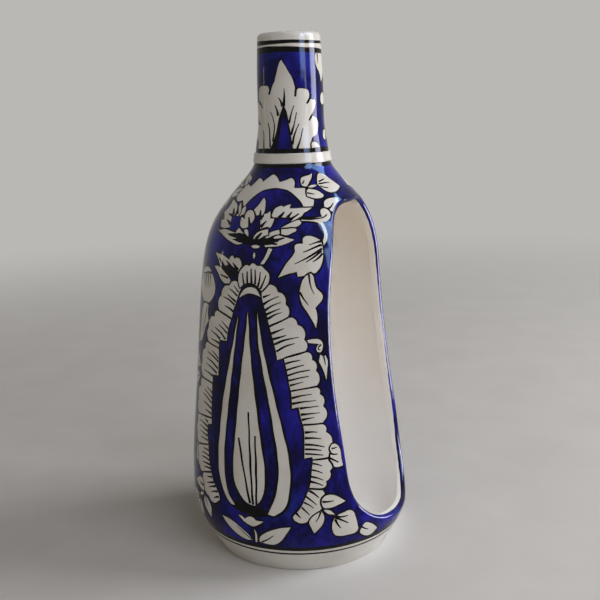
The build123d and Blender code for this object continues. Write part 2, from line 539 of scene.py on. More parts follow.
def paint_bands(brush):
    """The rings at the foot, under and over the collar, and below the lip."""
    brush.band(12.0, 16.2, WHITE)
    brush.band(12.0, 14.2, LINE)
    brush.band(15.7, 18.2, LINE)
    brush.band(203.2, 207.0, LINE)
    brush.band(208.0, 212.3, LINE)
    brush.band(256.5, 262.0, WHITE)
    brush.band(255.7, 258.0, LINE, low_tilt=0.35, high_tilt=0.75)


def paint_neck_leaf(brush):
    """One broad acanthus leaf of the neck, with the dark flame in its middle."""
    brush.shape([
        (11, 252.6, TIP), (13, 251.5), (18, 249.5), (23, 247), (28, 244.5), (31, 242), (33, 240),
        (33.8, 236.6, TIP), (37, 239.3), (44, 239.6), (52, 239.3), (57, 238.5), (58.5, 236.4),
        (55, 233.4, TIP), (60, 234.7), (66, 234.2), (71, 234.3), (71.8, 232), (67, 229.4),
        (59, 225.8, TIP), (66, 226.8), (73, 226), (77, 224.2), (76, 221), (70, 218.5), (60, 216.8),
        (57.4, 214.6), (57, 211.8, TIP), (-42, 211.8, TIP), (-44, 215.5), (-52, 217.5), (-59, 220),
        (-58, 223.4), (-43, 223.9, TIP), (-52, 227), (-55, 230.6), (-50, 233.6), (-34, 231.8, TIP),
        (-44, 235.4), (-43, 238.2), (-40, 240.3), (-35, 241), (-25, 241.3), (-15, 240.6),
        (-14, 237.6, TIP), (-10, 239.3), (-5, 241.5), (-2, 243), (0, 245), (3, 247.5), (6, 250.3),
        (8.6, 252),
    ], edge=0.5)
    brush.blot([
        (13.4, 233, TIP), (15.4, 231.4), (18.2, 229), (20.5, 224.8), (24, 219), (25.6, 215.6),
        (27, 211.5, TIP), (-14, 211.5, TIP), (-9, 213.6), (-5, 216.2), (-2, 219.4), (2, 224), (6, 228),
        (10, 230.8),
    ], LINE)
    brush.blot([
        (12.6, 227.4, TIP), (16.6, 226), (18.6, 223), (21.4, 217.6), (23.8, 211.5, TIP), (2, 211.5, TIP),
        (4.4, 217.4), (7.4, 223), (9.6, 225.8),
    ], COBALT)
    brush.lines(
        [(13.5, 232), (14.6, 236), (14.4, 240)], [(11, 231.6), (8, 234.3), (4, 235.8)],
        [(3, 227.5), (1, 230), (-3, 232.5)],
        thick=1.6, end=0.25,
    )
    brush.lines(
        [(-6.4, 215.6), (-5, 220), (-5, 224), (-8, 227), (-12, 229.5)],
        [(-11, 213), (-12.5, 217), (-14.5, 221.5), (-18, 224.5)],
        [(-24, 212), (-25.5, 215), (-28, 219), (-31, 221)], [(21, 224), (26, 228.5), (30, 232)],
        [(24.4, 218.6), (26, 220.5), (31, 224.5), (34.5, 228.8)],
        [(26.4, 214), (29, 218), (34, 221.5), (38.5, 223.6)],
        [(33, 212), (35, 213.5), (40, 217.5), (45, 221.5)],
        thick=1.15, end=0.45,
    )
    brush.lines(
        [(-8.6, 241), (-11, 239.4), (-14.4, 237.2)], [(35.4, 240.4), (34.2, 238.4), (33.4, 236)],
        [(62, 236.6), (58, 234.6), (53, 232.6)], [(71, 229.4), (64, 227.3), (57, 225)],
        [(-56, 234.8), (-42, 234), (-32, 231.2)], [(-60, 225.2), (-50, 224.2), (-40, 223.4)],
        thick=1.5, end=0.7,
    )
    brush.shape([
        (57.4, 211.6, TIP), (57.4, 213.8), (60, 214.8), (66, 214.8), (71, 213.6), (75, 211.6, TIP),
    ])


def paint_neck_column(brush):
    """The hanging petal and the dots between two leaves of the neck."""
    brush.shape([
        (76, 251), (76, 254), (80, 255.8), (90, 255.6), (105, 255.4), (111, 251), (104, 246),
        (93, 242.6, TIP), (87, 246.5), (80, 249),
    ])
    brush.line([(83.5, 255.4), (83, 251)], thick=1.1, end=0.4)
    brush.shape([
        (88, 235.4), (92, 237.2), (99, 237.4), (107, 236.2), (108.5, 233.8), (102, 232.2), (93, 232.2),
        (88.4, 233.4),
    ])
    brush.shape([(89, 216.4), (92, 219.4), (98, 220.4), (104.4, 219.6), (101, 217.4), (94.5, 215.7)])


def paint_crescent(brush):
    """The saw-toothed crescent over the lotus."""
    brush.shape([
        (-37, 185.6, TIP), (-37.6, 188.4), (-35.6, 191.4), (-31.6, 193.6), (-25.4, 192.4, TIP),
        (-22, 195), (-18, 197.5), (-13.6, 196.8), (-10.5, 195.6, TIP), (-6, 198), (0.5, 199.8),
        (6, 198.2), (10, 195.5, TIP), (17, 196.6), (24, 197.5), (26.6, 195.4), (26, 192.2, TIP),
        (31, 191.9), (36.6, 191.6, TIP), (36.7, 187.2, TIP), (43, 185.3, TIP), (40.5, 181.6, TIP),
        (32.6, 181.4, TIP), (31.5, 183.5), (27, 187.5), (20, 190.7), (12, 192), (4, 192.1), (-4, 191.2),
        (-10, 189.3), (-15, 186), (-19, 181.2, TIP), (-24.4, 184.6, TIP), (-30, 183.6),
    ])


def paint_lotus(brush):
    """The lotus under the crescent, from its dark heart outwards, with its sepals and stem."""
    brush.blot([
        (-25, 167.2, TIP), (-17, 167.8), (-8, 167.4), (-3, 166), (6, 166), (13, 166.4), (16, 164.6),
        (10, 163), (0, 162.9), (-10, 163), (-18, 164.4),
    ], LINE)
    brush.shapes(
        [
            (-2, 186.8, TIP), (0.3, 184.8), (1.5, 182), (2.3, 179.5), (2.1, 178.2), (0.7, 176.2, TIP),
            (-0.6, 177.4), (-3.1, 177), (-4.8, 178.3), (-7.2, 179.9, TIP), (-4.8, 182.4), (-3, 185.4),
        ],
        [
            (-11.4, 179.5), (-7.8, 179.2), (-5.6, 177.4), (-4.7, 175.4), (-5.6, 173.6),
            (-6.5, 172.6, TIP), (-7.2, 171.6), (-9.2, 170.6), (-12.3, 170.4), (-14.5, 171.5),
            (-15.6, 173.3), (-16.4, 175.6, TIP), (-13.3, 175, TIP), (-13.6, 178),
        ],
        [
            (-17.4, 181.5), (-15.7, 179.8), (-15.2, 178), (-15.8, 176.6, TIP), (-18.5, 176.2),
            (-19.7, 178.3), (-19.4, 180),
        ],
        [
            (-25.5, 183.4, TIP), (-22, 181.1), (-19.8, 178), (-20.5, 175.9, TIP), (-22.4, 176.4),
            (-24.6, 180.3),
        ],
        [
            (-40, 184.3, TIP), (-34, 183.3), (-28.4, 181.7), (-25.2, 179), (-24.4, 176.4, TIP),
            (-27.4, 176, TIP), (-26.4, 174), (-24.4, 170.3, TIP), (-28, 169.5), (-32, 169.2),
            (-35.6, 169.7, TIP), (-39.5, 173.2, TIP), (-37, 174.8, TIP), (-41.5, 176.8, TIP),
            (-38.5, 180.5),
        ],
        [
            (-39, 168.2, TIP), (-34, 167.8), (-30.2, 168.7), (-25, 168.7), (-20, 168), (-16, 167.6, TIP),
            (-20, 167.3), (-25, 167, TIP), (-21.5, 166), (-15, 165.2, TIP), (-18.8, 164.5, TIP),
            (-15, 163.9), (-9.4, 163.2, TIP), (-13.2, 162.5), (-18.5, 163.2), (-24.4, 164.7), (-29, 166),
            (-33.5, 167),
        ],
        [
            (-15, 170.2, TIP), (-13, 169.3), (-10, 167.7, TIP), (-13.2, 168), (-17, 167.4, TIP),
            (-16.3, 168.9),
        ],
        [
            (-9.8, 169.8, TIP), (-7.6, 169.8), (-6.4, 168.4), (-5.8, 166.4, TIP), (-7.8, 167.4),
            (-9.6, 168.6),
        ],
        [
            (6.7, 179.4, TIP), (7.5, 177.6), (7.9, 175.7, TIP), (10.9, 175.5, TIP), (10.5, 173.8),
            (9.6, 172), (8.6, 170.9, TIP), (7.2, 171.5), (4.6, 171.2), (1.9, 170.4, TIP), (1.3, 172.6),
            (0.8, 174.6), (1.6, 176.3), (3, 177.8), (5, 178.2),
        ],
        [
            (9.2, 176.6), (9.3, 179.2), (10.3, 180.8), (12.6, 181.7), (15.6, 182.1), (16.8, 181.4, TIP),
            (19.4, 182.3), (22.8, 183, TIP), (21.8, 180.8, TIP), (28, 180.7), (39, 180.8, TIP), (35, 179),
            (32.6, 178.2), (31, 176.8), (28, 175.6), (22.4, 174, TIP), (24.4, 175.8), (21.6, 176.2),
            (17.5, 176.1), (13, 176.2),
        ],
        [
            (16.4, 170.9, TIP), (20, 172.5), (25, 174), (28.4, 174.5), (29.8, 173.7), (27.4, 171.6),
            (23, 170.9),
        ],
        [
            (16.5, 170.3, TIP), (20.8, 170.5), (25, 170.5), (26.4, 169.8), (23.2, 168.3), (20.4, 167.5),
            (16.5, 168, TIP),
        ],
        [
            (9, 168.6), (11.4, 169.3), (15, 169.9, TIP), (15.2, 168), (13, 167.7), (10.6, 167),
            (7.4, 166, TIP), (6.2, 166.2, TIP),
        ],
        [
            (7.4, 170.4, TIP), (7.6, 168.4), (7.9, 167.5, TIP), (6, 167.4), (3.8, 166.4),
            (1.6, 165.5, TIP), (0.6, 166.2), (-1.9, 165.3, TIP), (-1.1, 167.1), (0.7, 168.7), (3, 169.6),
        ],
        [
            (11.4, 166.2, TIP), (14.1, 167.3), (17.4, 166.9), (21.7, 165.9), (24.8, 165.2, TIP),
            (21.7, 164.2), (18.4, 163.3), (14, 162.4), (7, 161.9, TIP), (6.2, 162.6, TIP), (11, 163),
            (14.4, 163.3), (12.2, 164, TIP), (15, 164.8), (12.8, 165.3, TIP),
        ],
        [(-2.6, 162), (-1.5, 162.5), (2.7, 162.5), (3.2, 162), (2, 161.5), (-1.8, 161.5)],
        [(-0.2, 159.6, TIP), (0.7, 158.2), (0, 156.4, TIP), (-0.8, 158)],
        [
            (9, 161.4, TIP), (11.4, 161, TIP), (8.6, 156.9), (6.4, 154.1, TIP), (4.4, 154, TIP),
            (6.9, 157.5),
        ],
        edge=0.75,
    )
    brush.lines(
        [(-0.3, 176.2), (-0.6, 178), (-1.1, 179.8)], [(-6.5, 171.5), (-8, 173.6), (-9.8, 176)],
        [(-17.6, 176.3), (-15, 176.2), (-12.8, 174.9)], [(-25.8, 176.2), (-27.8, 177.9), (-30, 179.7)],
        [(-26, 176), (-29.5, 176.2), (-33, 176.4)], [(-25, 171.6), (-28, 172.6), (-31.4, 173.5)],
        [(-41, 173.2), (-38.6, 173.5), (-35.6, 173.9)], [(-22, 176.8), (-23.4, 178.6), (-24.9, 180.4)],
        [(1.7, 171.2), (3.5, 172.8), (5.4, 174.4)], [(0.4, 175), (1.5, 176), (2.7, 177.2)],
        [(14.2, 175.9), (16, 177.4), (17.7, 178.9)], [(20, 176), (22, 177.6), (23.7, 179)],
        [(21.2, 174.9), (25, 176.3), (28.8, 177.8)], [(0.2, 165.7), (1.8, 167.1), (3.4, 168.6)],
        [(12.2, 165), (15.4, 165.6), (18.6, 166.4)],
        thick=2, end=0.4,
    )


def paint_shoulder_leaves(brush):
    """The five leaves between the crescent and the neck, on one side of it."""
    brush.shapes(
        [
            (34.6, 193, TIP), (33.4, 195.2), (34.6, 197.4), (39.2, 198.3), (45, 199), (49.7, 199.8, TIP),
            (47, 197.2), (44, 195.6), (41.1, 193.9), (38.3, 192.6),
        ],
        [
            (37.6, 187.1, TIP), (38, 189.8), (40, 191.2), (44, 190.8), (48, 190), (51.4, 188.4),
            (53, 187.1), (50.6, 185.8), (45, 185.5), (41, 186.3),
        ],
        [
            (52, 193.5, TIP), (54, 196.5), (57, 198.8), (61.6, 199.8), (67, 198.7), (72, 196.4),
            (80, 191, TIP), (74, 189.5), (67, 188.3), (62, 188.2), (57, 190),
        ],
        [
            (49.6, 180.2, TIP), (51.4, 183.6), (56, 184.9), (67, 184.9, TIP), (63, 180.5), (59.4, 178.2),
            (54.4, 178), (52.4, 179.6),
        ],
    )
    brush.shape([(39.8, 192.2, TIP), (43, 193.1), (47, 193.4), (50.6, 193, TIP), (46, 192)], edge=0.5)
    brush.lines(
        [(34.8, 194.2), (38, 196.3)], [(38, 189), (44.6, 188)],
        [(54.4, 194.9), (59, 195.7), (63.5, 196.3)], [(53.2, 193.6), (60, 194), (68, 193.7)],
        [(54, 192.5), (58, 191.5), (62.5, 191)], [(52.3, 179.6), (55, 180.3), (59, 182.3)],
        thick=1.2, end=0.4,
    )


def paint_opening_spray(brush):
    """The tendril, the toothed leaf and what hangs from it, beside the side opening."""
    brush.shape([
        (30, 175.4, TIP), (38, 175.2), (45.4, 175.5, TIP), (44.8, 177.4), (46, 179.3), (49, 179.8),
        (51.8, 178.6), (52.3, 176.6), (50.4, 174.3), (47.4, 173.2), (44.8, 172.8, TIP), (46, 170),
        (46.2, 166.8), (44.8, 163.8), (41.6, 161.2, TIP), (41, 162.6, TIP), (43.4, 165.4), (44, 168.4),
        (42.8, 171.7), (39.6, 173.3), (35, 174), (30, 174.1, TIP),
    ])
    brush.line([(30, 175), (40, 174.8), (46, 175.2), (49.4, 176.6)], thick=1.0, end=0.8)
    brush.shape([
        (30, 163.4, TIP), (30.2, 165.6), (32, 166.7), (35, 166.7), (38, 165.7), (41.4, 164.2, TIP),
        (41.8, 160), (40.8, 155.4), (39, 152), (36.5, 149.8, TIP), (30, 148.9, TIP), (26, 148.6, TIP),
        (25.6, 150.8, TIP), (20.5, 149.8), (15.2, 148.2, TIP), (19, 153.6), (24.8, 159.6), (25, 162.6),
    ])
    brush.lines(
        [(41.5, 163.9), (38, 163.4), (33.5, 162.6)], [(41.5, 162.3), (36, 161), (29.5, 159.4)],
        [(41.5, 160.6), (34, 157.6), (24.5, 154.2)], [(41, 159.6), (36, 157), (31, 154.8)],
        [(41.3, 158.4), (38.5, 156.4), (35, 154.7)],
        thick=1.5, end=0.3,
    )
    brush.shape([
        (28.4, 146.6, TIP), (27.3, 143), (26.8, 140), (27.9, 135.9), (31, 131.8), (34, 127.1),
        (34.9, 124.8, TIP), (35.9, 129), (35.6, 132), (34.9, 134.1, TIP), (36.8, 135.6), (38.8, 137.1),
        (39.6, 139.1), (38.6, 140.8), (35.9, 143.3), (35.1, 146), (34.7, 148.4), (33.4, 149.6, TIP),
        (30.6, 148.6),
    ])
    brush.lines(
        [(32.3, 149.2), (32.5, 145.9), (33.4, 142.9), (34.9, 140.3)],
        [(26.9, 141.5), (28.9, 138.2), (31.3, 135.3)],
        thick=1.3, end=0.35,
    )
    brush.shape([
        (29.6, 119.5, TIP), (33.4, 119.8), (36.2, 119.4), (38, 117.8), (38, 115.4), (37, 113.6),
        (35.2, 113.8), (35, 116), (36.4, 117.3, TIP), (33, 117.9), (29.6, 118.5, TIP),
    ])
    brush.line([(37.4, 117), (36, 116), (35.8, 114.8), (36.8, 114.6)], thick=0.9, end=0.6)
    brush.shape([
        (35.6, 109.4, TIP), (36.6, 112.4, TIP), (38, 111.6), (39.4, 112, TIP), (40.3, 109.4),
        (39.9, 105.6), (39.3, 100.6, TIP), (38, 104.8),
    ])
    brush.line([(38.3, 111.6), (38.7, 109.4), (39, 107.4)], thick=1.1, end=0.4)


def paint_ruffle(brush):
    """The pleated ruffle round the teardrop: each fold's inner edge, outer notches and pleats."""
    right = (
        (
            [(5.6, 142.4, TIP), (5.8, 139.4), (7, 134.8), (8.6, 130.6), (9.9, 126.4, TIP)],
            [(19.8, 130.2), (19, 136.1), (14.8, 141.5), (8.2, 144.4)],
            [(6.3, 139.2), (8.4, 139.9), (10.7, 140.6)], [(6.5, 136), (9.8, 137.7), (15.3, 139.7)],
            [(7.4, 133.3), (11.6, 135.4), (16.5, 137)], [(8.2, 131.4), (12.3, 132.9), (16.2, 134.2)],
            [(9, 129.3), (12.9, 131.3), (16.8, 132.5)],
        ),
        (
            [
                (10.2, 125.4, TIP), (11.4, 121), (12.6, 117.2), (13.6, 113.4), (14, 110.6, TIP),
                (17.6, 111.6, TIP),
            ],
            [(28.8, 114.6), (28.4, 119.8), (25, 126.6), (20.4, 129.9)],
            [(10.9, 122.6), (14.3, 123.9), (17.9, 125.2)], [(11.5, 120.1), (15, 121), (19, 122)],
            [(12.4, 117.8), (17, 119.5), (25.7, 121)], [(13.5, 114.5), (17.8, 116.7), (23.5, 118.2)],
        ),
        (
            [(17.7, 111, TIP), (18.4, 107.6), (19.2, 103.6), (20, 99.6), (20.7, 96.6, TIP)],
            [(33.6, 98), (33.9, 105.2), (31.9, 110.2), (29.4, 114)],
            [(18.2, 108.8), (21.8, 109.8), (25.9, 110.5)], [(18.7, 105.9), (23.1, 107.2), (27.9, 108.2)],
            [(19.2, 103.4), (23.8, 104.8), (31, 105.6)], [(19.7, 101.1), (24.5, 102.1), (30.1, 102.7)],
            [(20.3, 98.8), (23.8, 99.6), (27, 100.2)],
        ),
        (
            [
                (20.9, 95.8, TIP), (21, 92), (21.1, 88, TIP), (24.4, 88.6, TIP), (25.2, 84.6),
                (26.3, 80.3, TIP),
            ],
            [(36.2, 80.7), (36.8, 88.3), (35.2, 94.2), (33.9, 97.4)],
            [(21, 92.9), (25.9, 93.8), (31.3, 94.4)], [(21.1, 90.2), (27.2, 91), (33.3, 91.4)],
            [(24.8, 87.9), (29.5, 88.4), (34.6, 88.6)], [(25.3, 85), (30.5, 85.4), (34.8, 85.4)],
            [(25.8, 82.6), (28.5, 83.1), (32.2, 83.5)],
        ),
        (
            [
                (26.5, 79.8, TIP), (26.8, 75), (26.8, 69.6), (26.4, 64.4, TIP), (30.1, 64.8, TIP),
                (30.6, 63.4, TIP),
            ],
            [(38.6, 64.4), (39.1, 68.2), (37.6, 76.2), (36.2, 79.8)],
            [(26.9, 76.7), (30.5, 76.7), (33.3, 76.3)], [(26.9, 74), (31.2, 73.7), (35, 73.1)],
            [(26.9, 71), (31.9, 70.3), (36.6, 69.2)], [(26.9, 68.7), (31.2, 68.3), (35, 67.7)],
            [(26.8, 66.5), (31.2, 66), (35.7, 65.4)],
        ),
        (
            [(30.4, 63, TIP), (30, 59), (29.4, 54.8), (28.4, 50, TIP)],
            [(34.8, 49.6), (36.4, 52.6), (38.5, 57.4), (38.8, 63.2)],
            [(30.3, 61.7), (32.6, 61.2), (34.8, 60.3)], [(30, 58.7), (32.6, 58), (35.1, 56.9)],
            [(29.5, 55.5), (32.6, 54.7), (35.3, 53.3)], [(29, 53.2), (31.9, 52.3), (35, 50.7)],
        ),
        (
            [(28.2, 49.4, TIP), (26.1, 44.6), (23.6, 40), (20.2, 35.8, TIP)],
            [(20.9, 34.2), (28.6, 35.4), (33, 38.8), (33.7, 43.4), (34.6, 48.4)],
            [(28.1, 49), (30.5, 47.3), (32.9, 45)], [(26.5, 46.2), (29.2, 44), (31.6, 41.5)],
            [(25.5, 43.2), (27.8, 42), (30, 40.1)], [(24.3, 40.8), (26.4, 38.7), (28.2, 36.7)],
            [(21.9, 37.9), (22.6, 36.9), (24, 35.5)],
        ),
    )
    left = (
        (
            [(-7.6, 142.4, TIP), (-9, 140.4), (-10.6, 136), (-12.2, 132.8), (-13.8, 128.4, TIP)],
            [(-24.2, 131), (-22.4, 137.9), (-16.3, 143), (-8.6, 144)],
            [(-9.2, 140.6), (-11.4, 142.3), (-12.8, 143.3)],
            [(-10, 138.8), (-12.8, 140.3), (-16.1, 141.7)],
            [(-10.8, 136), (-13.9, 137.3), (-17.3, 138.9)],
            [(-11.6, 134.5), (-16.1, 136.5), (-20.7, 137.5)],
            [(-12.6, 131.4), (-16.1, 132.6), (-19.5, 133.3)],
        ),
        (
            [
                (-14.2, 127.4, TIP), (-15.6, 123.8), (-16.8, 120), (-17.2, 117, TIP), (-22.9, 116.6, TIP),
                (-23.5, 112.8, TIP),
            ],
            [(-34.4, 114.2), (-34.5, 120.6), (-28.2, 127), (-25, 130.2)],
            [(-16, 122.9), (-19.3, 124.6), (-21.4, 125.8)],
            [(-16.8, 120.6), (-20.4, 122.4), (-24, 123.8)], [(-18, 117.5), (-21.8, 120), (-27.7, 122.1)],
            [(-22.4, 117), (-26.8, 118.8), (-31.9, 120)],
            [(-23.3, 114.8), (-26.8, 115.5), (-31.2, 115.9)],
        ),
        (
            [(-23.4, 112, TIP), (-23.2, 107), (-23.3, 99.4, TIP), (-28.2, 98.8, TIP), (-28.4, 94.8, TIP)],
            [(-40.2, 95.4), (-42.2, 102.4), (-37.9, 109.6), (-35, 113.4)],
            [(-23.5, 107.2), (-26.1, 108.8), (-30.1, 110.3)],
            [(-23.4, 105.9), (-29, 107.8), (-34.7, 108.9)], [(-23.7, 102.6), (-29, 104.6), (-36, 105.8)],
            [(-24.5, 100.2), (-30.4, 101.9), (-36.5, 103)], [(-28.3, 98), (-33.3, 98.7), (-39.1, 99.1)],
        ),
        (
            [(-28.5, 94, TIP), (-28.6, 86), (-28.3, 77.4, TIP)],
            [(-44.8, 75.4), (-46.4, 82), (-43, 89.8), (-40.4, 94.4)],
            [(-28.6, 89.7), (-31.5, 90.6), (-34.5, 91.4)], [(-28.5, 87), (-32.6, 88.4), (-37.3, 89.6)],
            [(-28.6, 84.7), (-33.3, 86.2), (-38.5, 87.2)], [(-28.5, 81.8), (-32.3, 82.7), (-37.5, 83.3)],
            [(-28.5, 79.2), (-32, 79.6), (-35.4, 79.7)],
        ),
        (
            [
                (-28.2, 76.8, TIP), (-27.9, 74.3, TIP), (-31.3, 73.5, TIP), (-31.5, 68.6),
                (-30.4, 63.6, TIP),
            ],
            [(-42.2, 60.8), (-45, 65), (-45, 71), (-44.7, 74.8)],
            [(-31.4, 74.3), (-33.4, 74.8), (-35.1, 75)], [(-31.4, 72), (-37.5, 72.7), (-42.6, 72.3)],
            [(-31.5, 69.7), (-37.5, 70.1), (-42.2, 69.9)], [(-31.4, 67.3), (-36.1, 67.6), (-40.9, 67.5)],
            [(-31.1, 65), (-35.4, 65.1), (-39.5, 64.7)],
        ),
        (
            [(-30.2, 62.8, TIP), (-29.2, 58), (-28.2, 53.4), (-27.2, 50.3, TIP)],
            [(-35.3, 47.8), (-39.4, 49.4), (-41.4, 55), (-41.4, 60)],
            [(-29.6, 60.2), (-32, 60.3), (-35.8, 60)], [(-29.1, 57.7), (-33.4, 57.9), (-37.1, 57.5)],
            [(-28.7, 55.6), (-33.4, 55.7), (-37.5, 55.2)], [(-28.2, 53.5), (-32, 53.3), (-36.1, 52.7)],
            [(-27.8, 51.8), (-31.3, 51.4), (-34.2, 50.8)],
        ),
        (
            [(-26.9, 49.8, TIP), (-25.4, 46.6), (-22.4, 42.8), (-20.3, 39.8), (-20.4, 38, TIP)],
            [(-22, 36.6), (-29.6, 36.9), (-34, 42.4), (-34.7, 47.2)],
            [(-26.3, 47.8), (-28.6, 47.3), (-30.6, 46.8)], [(-24.7, 45.5), (-27.9, 44.5), (-31.3, 43.5)],
            [(-23.3, 43.8), (-26.6, 42.8), (-29.6, 41.7)], [(-21.6, 41.6), (-24.2, 41), (-27.2, 39.9)],
            [(-20.8, 39.3), (-23.1, 38.4), (-25.2, 37.3)],
        ),
    )
    for side, folds in ((1, right), (-1, left)):
        for inner, notches, *pleats in folds:
            outline = list(inner)
            for low, high in zip(notches, notches[1:]):
                span = np.subtract(high, low)
                bulge = np.array([span[1], -span[0]]) * SCALLOP_BULGE * side
                outline.append((*low, TIP))
                outline += [tuple(low + span * share + bulge) for share in SCALLOP_SHOULDERS]
            brush.shape([*outline, (*notches[-1], TIP)])
            brush.lines(*pleats, thick=1.35, end=0.35)


def paint_teardrop(brush):
    """The inside of the teardrop: the fan and arch on top, two stripes and the long petal."""
    brush.shape([
        (-8.4, 142.8, TIP), (-9.6, 146.4), (-9, 150), (-6.4, 152.6, TIP), (-4.6, 153.4), (-2.6, 153, TIP),
        (-0.4, 154.4), (2.4, 153.2, TIP), (5, 153.2), (6.8, 152, TIP), (9.6, 150), (9.6, 146.4),
        (5.4, 142, TIP), (2.6, 144.2), (-1.4, 145.4), (-5.4, 144.8),
    ])
    brush.lines(
        [(-5.6, 144.6), (-6.4, 147), (-7, 149.6)], [(-3.4, 145), (-3.8, 148), (-4, 150.6)],
        [(-0.8, 145.2), (-1.2, 148.6), (-1.4, 152)], [(1.4, 144.8), (1.4, 148.6), (1.2, 151.6)],
        [(3.2, 143.8), (4, 147), (4.6, 150.4)], [(4.6, 142.8), (6.4, 146), (8, 149.2)],
        thick=1.2, end=0.6,
    )
    brush.shape([
        (-8.6, 138.2, TIP), (-7.2, 140.6), (-5, 142.4), (-1.6, 143.4), (2, 142.7), (4.8, 139.4, TIP),
        (2, 140.1), (-2.2, 140.6), (-5.8, 139.7),
    ])
    brush.blot([
        (-12, 37.5), (-9, 40.5), (-4, 40.5), (1.5, 39), (6, 39), (8, 36), (4, 34.5), (-2, 35), (-8, 36),
    ], LINE)
    brush.shape([
        (-9.2, 129.6, TIP), (-11, 116), (-13.2, 100), (-15.6, 80), (-16.8, 64), (-16, 51), (-13.6, 42.6),
        (-9.8, 38.2, TIP), (-11.6, 38), (-16, 42.2), (-19.8, 51), (-21, 61), (-20.3, 74), (-18.8, 88),
        (-15.4, 103.6), (-11.7, 118.8),
    ], edge=1.4)
    brush.shape([
        (3.1, 132, TIP), (5.2, 119.6), (8.5, 106), (12.2, 92.2), (15.6, 79), (18.4, 67), (19.4, 57),
        (18.6, 47.6), (16, 39.6), (11, 36, TIP), (8, 36.6, TIP), (11.4, 43.8), (13.6, 53.4), (13.7, 63.4),
        (11.9, 76), (9.2, 91), (6, 106), (3.5, 119.6),
    ], edge=1.4)
    brush.shape([
        (-2.8, 132, TIP), (-1.5, 116), (0.2, 102), (2.4, 87), (4.6, 72.4), (6.6, 60), (6.6, 50.4),
        (4.7, 43.2), (1.7, 40, TIP), (-3, 41), (-7.6, 45.8), (-10.3, 52.4), (-10.6, 60.4), (-9.6, 74),
        (-8.2, 90), (-6.2, 107), (-4, 122),
    ], edge=1.4)
    brush.lines(
        [(0.5, 40.4), (-0.8, 62), (-2.1, 85)], [(2.3, 40), (2.4, 57), (1.7, 74)],
        [(-1.1, 40.8), (-4.3, 56), (-7.6, 72)],
        thick=1.45, end=0.8,
    )


def paint_flower(brush):
    """The small flower and its two leaves under the teardrop."""
    brush.shapes(
        [
            (-7.9, 33.7, TIP), (-6.1, 33.5), (-4.4, 32.4, TIP), (-2.4, 33.7), (0, 33.9), (1.7, 32.4, TIP),
            (5.6, 32.4, TIP), (2.8, 30.4), (0, 29.1), (-3, 29.8), (-5.6, 31.4),
        ],
        [
            (-18.9, 30.3, TIP), (-15, 29.9), (-10.9, 28.7), (-6.8, 26.3), (-3.7, 23.7), (-1.8, 20.8, TIP),
            (-4, 20), (-7, 20.4), (-11, 22.3), (-15, 25.4),
        ],
        [
            (18.8, 30.5, TIP), (14, 29.8), (9.6, 28.3), (6.2, 26.5), (3, 23.6), (2.2, 20.4, TIP),
            (6, 19.6), (10.4, 19.8), (14.1, 23), (16.8, 27),
        ],
        [(0.2, 27.5, TIP), (1.2, 25.4), (1.3, 22.6), (0.7, 19.7, TIP), (-0.2, 19.7, TIP), (0.3, 23.6)],
    )
    brush.lines(
        [(-2.2, 20.8), (-6.1, 24.3), (-9.9, 27.3)], [(3.4, 20.4), (6.9, 22.7), (10, 25.3)],
        thick=1.1, end=0.4,
    )


def paint_fan(brush):
    """The little fan that sits against the outside of the ruffle."""
    brush.shape([
        (40.2, 70, TIP), (41.6, 70.1), (43, 69.2), (44.3, 67), (44.9, 62), (45.3, 59.2, TIP), (43, 58.7),
        (41, 59.1), (40.2, 61), (39, 62.8, TIP), (39.2, 64.2), (39.8, 66.6, TIP), (39.2, 68),
    ])
    brush.lines(
        [(40, 68), (41.5, 68), (42.8, 68.3)], [(39.2, 65.9), (40.6, 65.2), (43, 64.8)],
        [(38.9, 63.6), (40.6, 62.5), (43.2, 60.9)],
        thick=1.2, end=0.5,
    )


def paint_sprig(brush):
    """The sprig of leaves at the foot of the ruffle."""
    brush.shapes(
        [
            (34.1, 41.8, TIP), (34.4, 44), (36, 45.5), (38.3, 45.8), (41.1, 45), (45.9, 41.6, TIP),
            (42.5, 40.5), (37.7, 39.4), (34.9, 39.8),
        ],
        [(34.8, 38.6, TIP), (37.7, 38.2), (40.3, 35.8, TIP), (37, 36.5)],
        [
            (33.6, 38, TIP), (31.3, 37), (29, 35.2), (27.9, 32.8), (28.6, 30.4), (30, 26.9, TIP),
            (32, 28.8), (34.4, 31.8), (34.9, 35.6),
        ],
        [
            (40, 33.8, TIP), (42.2, 35.4), (45, 35.9), (47.5, 36.5), (49.8, 35.5), (51, 32.4),
            (52.4, 27.5), (53, 25), (51.6, 23.5), (48.3, 23.3), (43.5, 23.3), (40.6, 24.5), (39.1, 28),
            (39.2, 31.8),
        ],
        [
            (55.4, 26, TIP), (57, 27.4), (60, 26.3), (63, 24.2), (66, 21.4, TIP), (63.4, 19),
            (60.4, 18.6), (56.8, 20.2), (54.6, 22.6),
        ],
    )
    brush.lines(
        [(34.4, 42.7), (37, 42.5), (40.1, 42.7)], [(33.3, 37.8), (32.2, 34.7), (31, 32.9)],
        [(40.6, 34.6), (43.5, 33.9), (47, 33.9)], [(40.4, 34.2), (43.5, 32.3), (47.1, 30)],
        [(40.3, 33.4), (41.5, 30.7), (43.3, 27.9)], [(55.2, 25.6), (57.2, 24), (59.6, 22.8)],
        thick=1.3, end=0.4,
    )


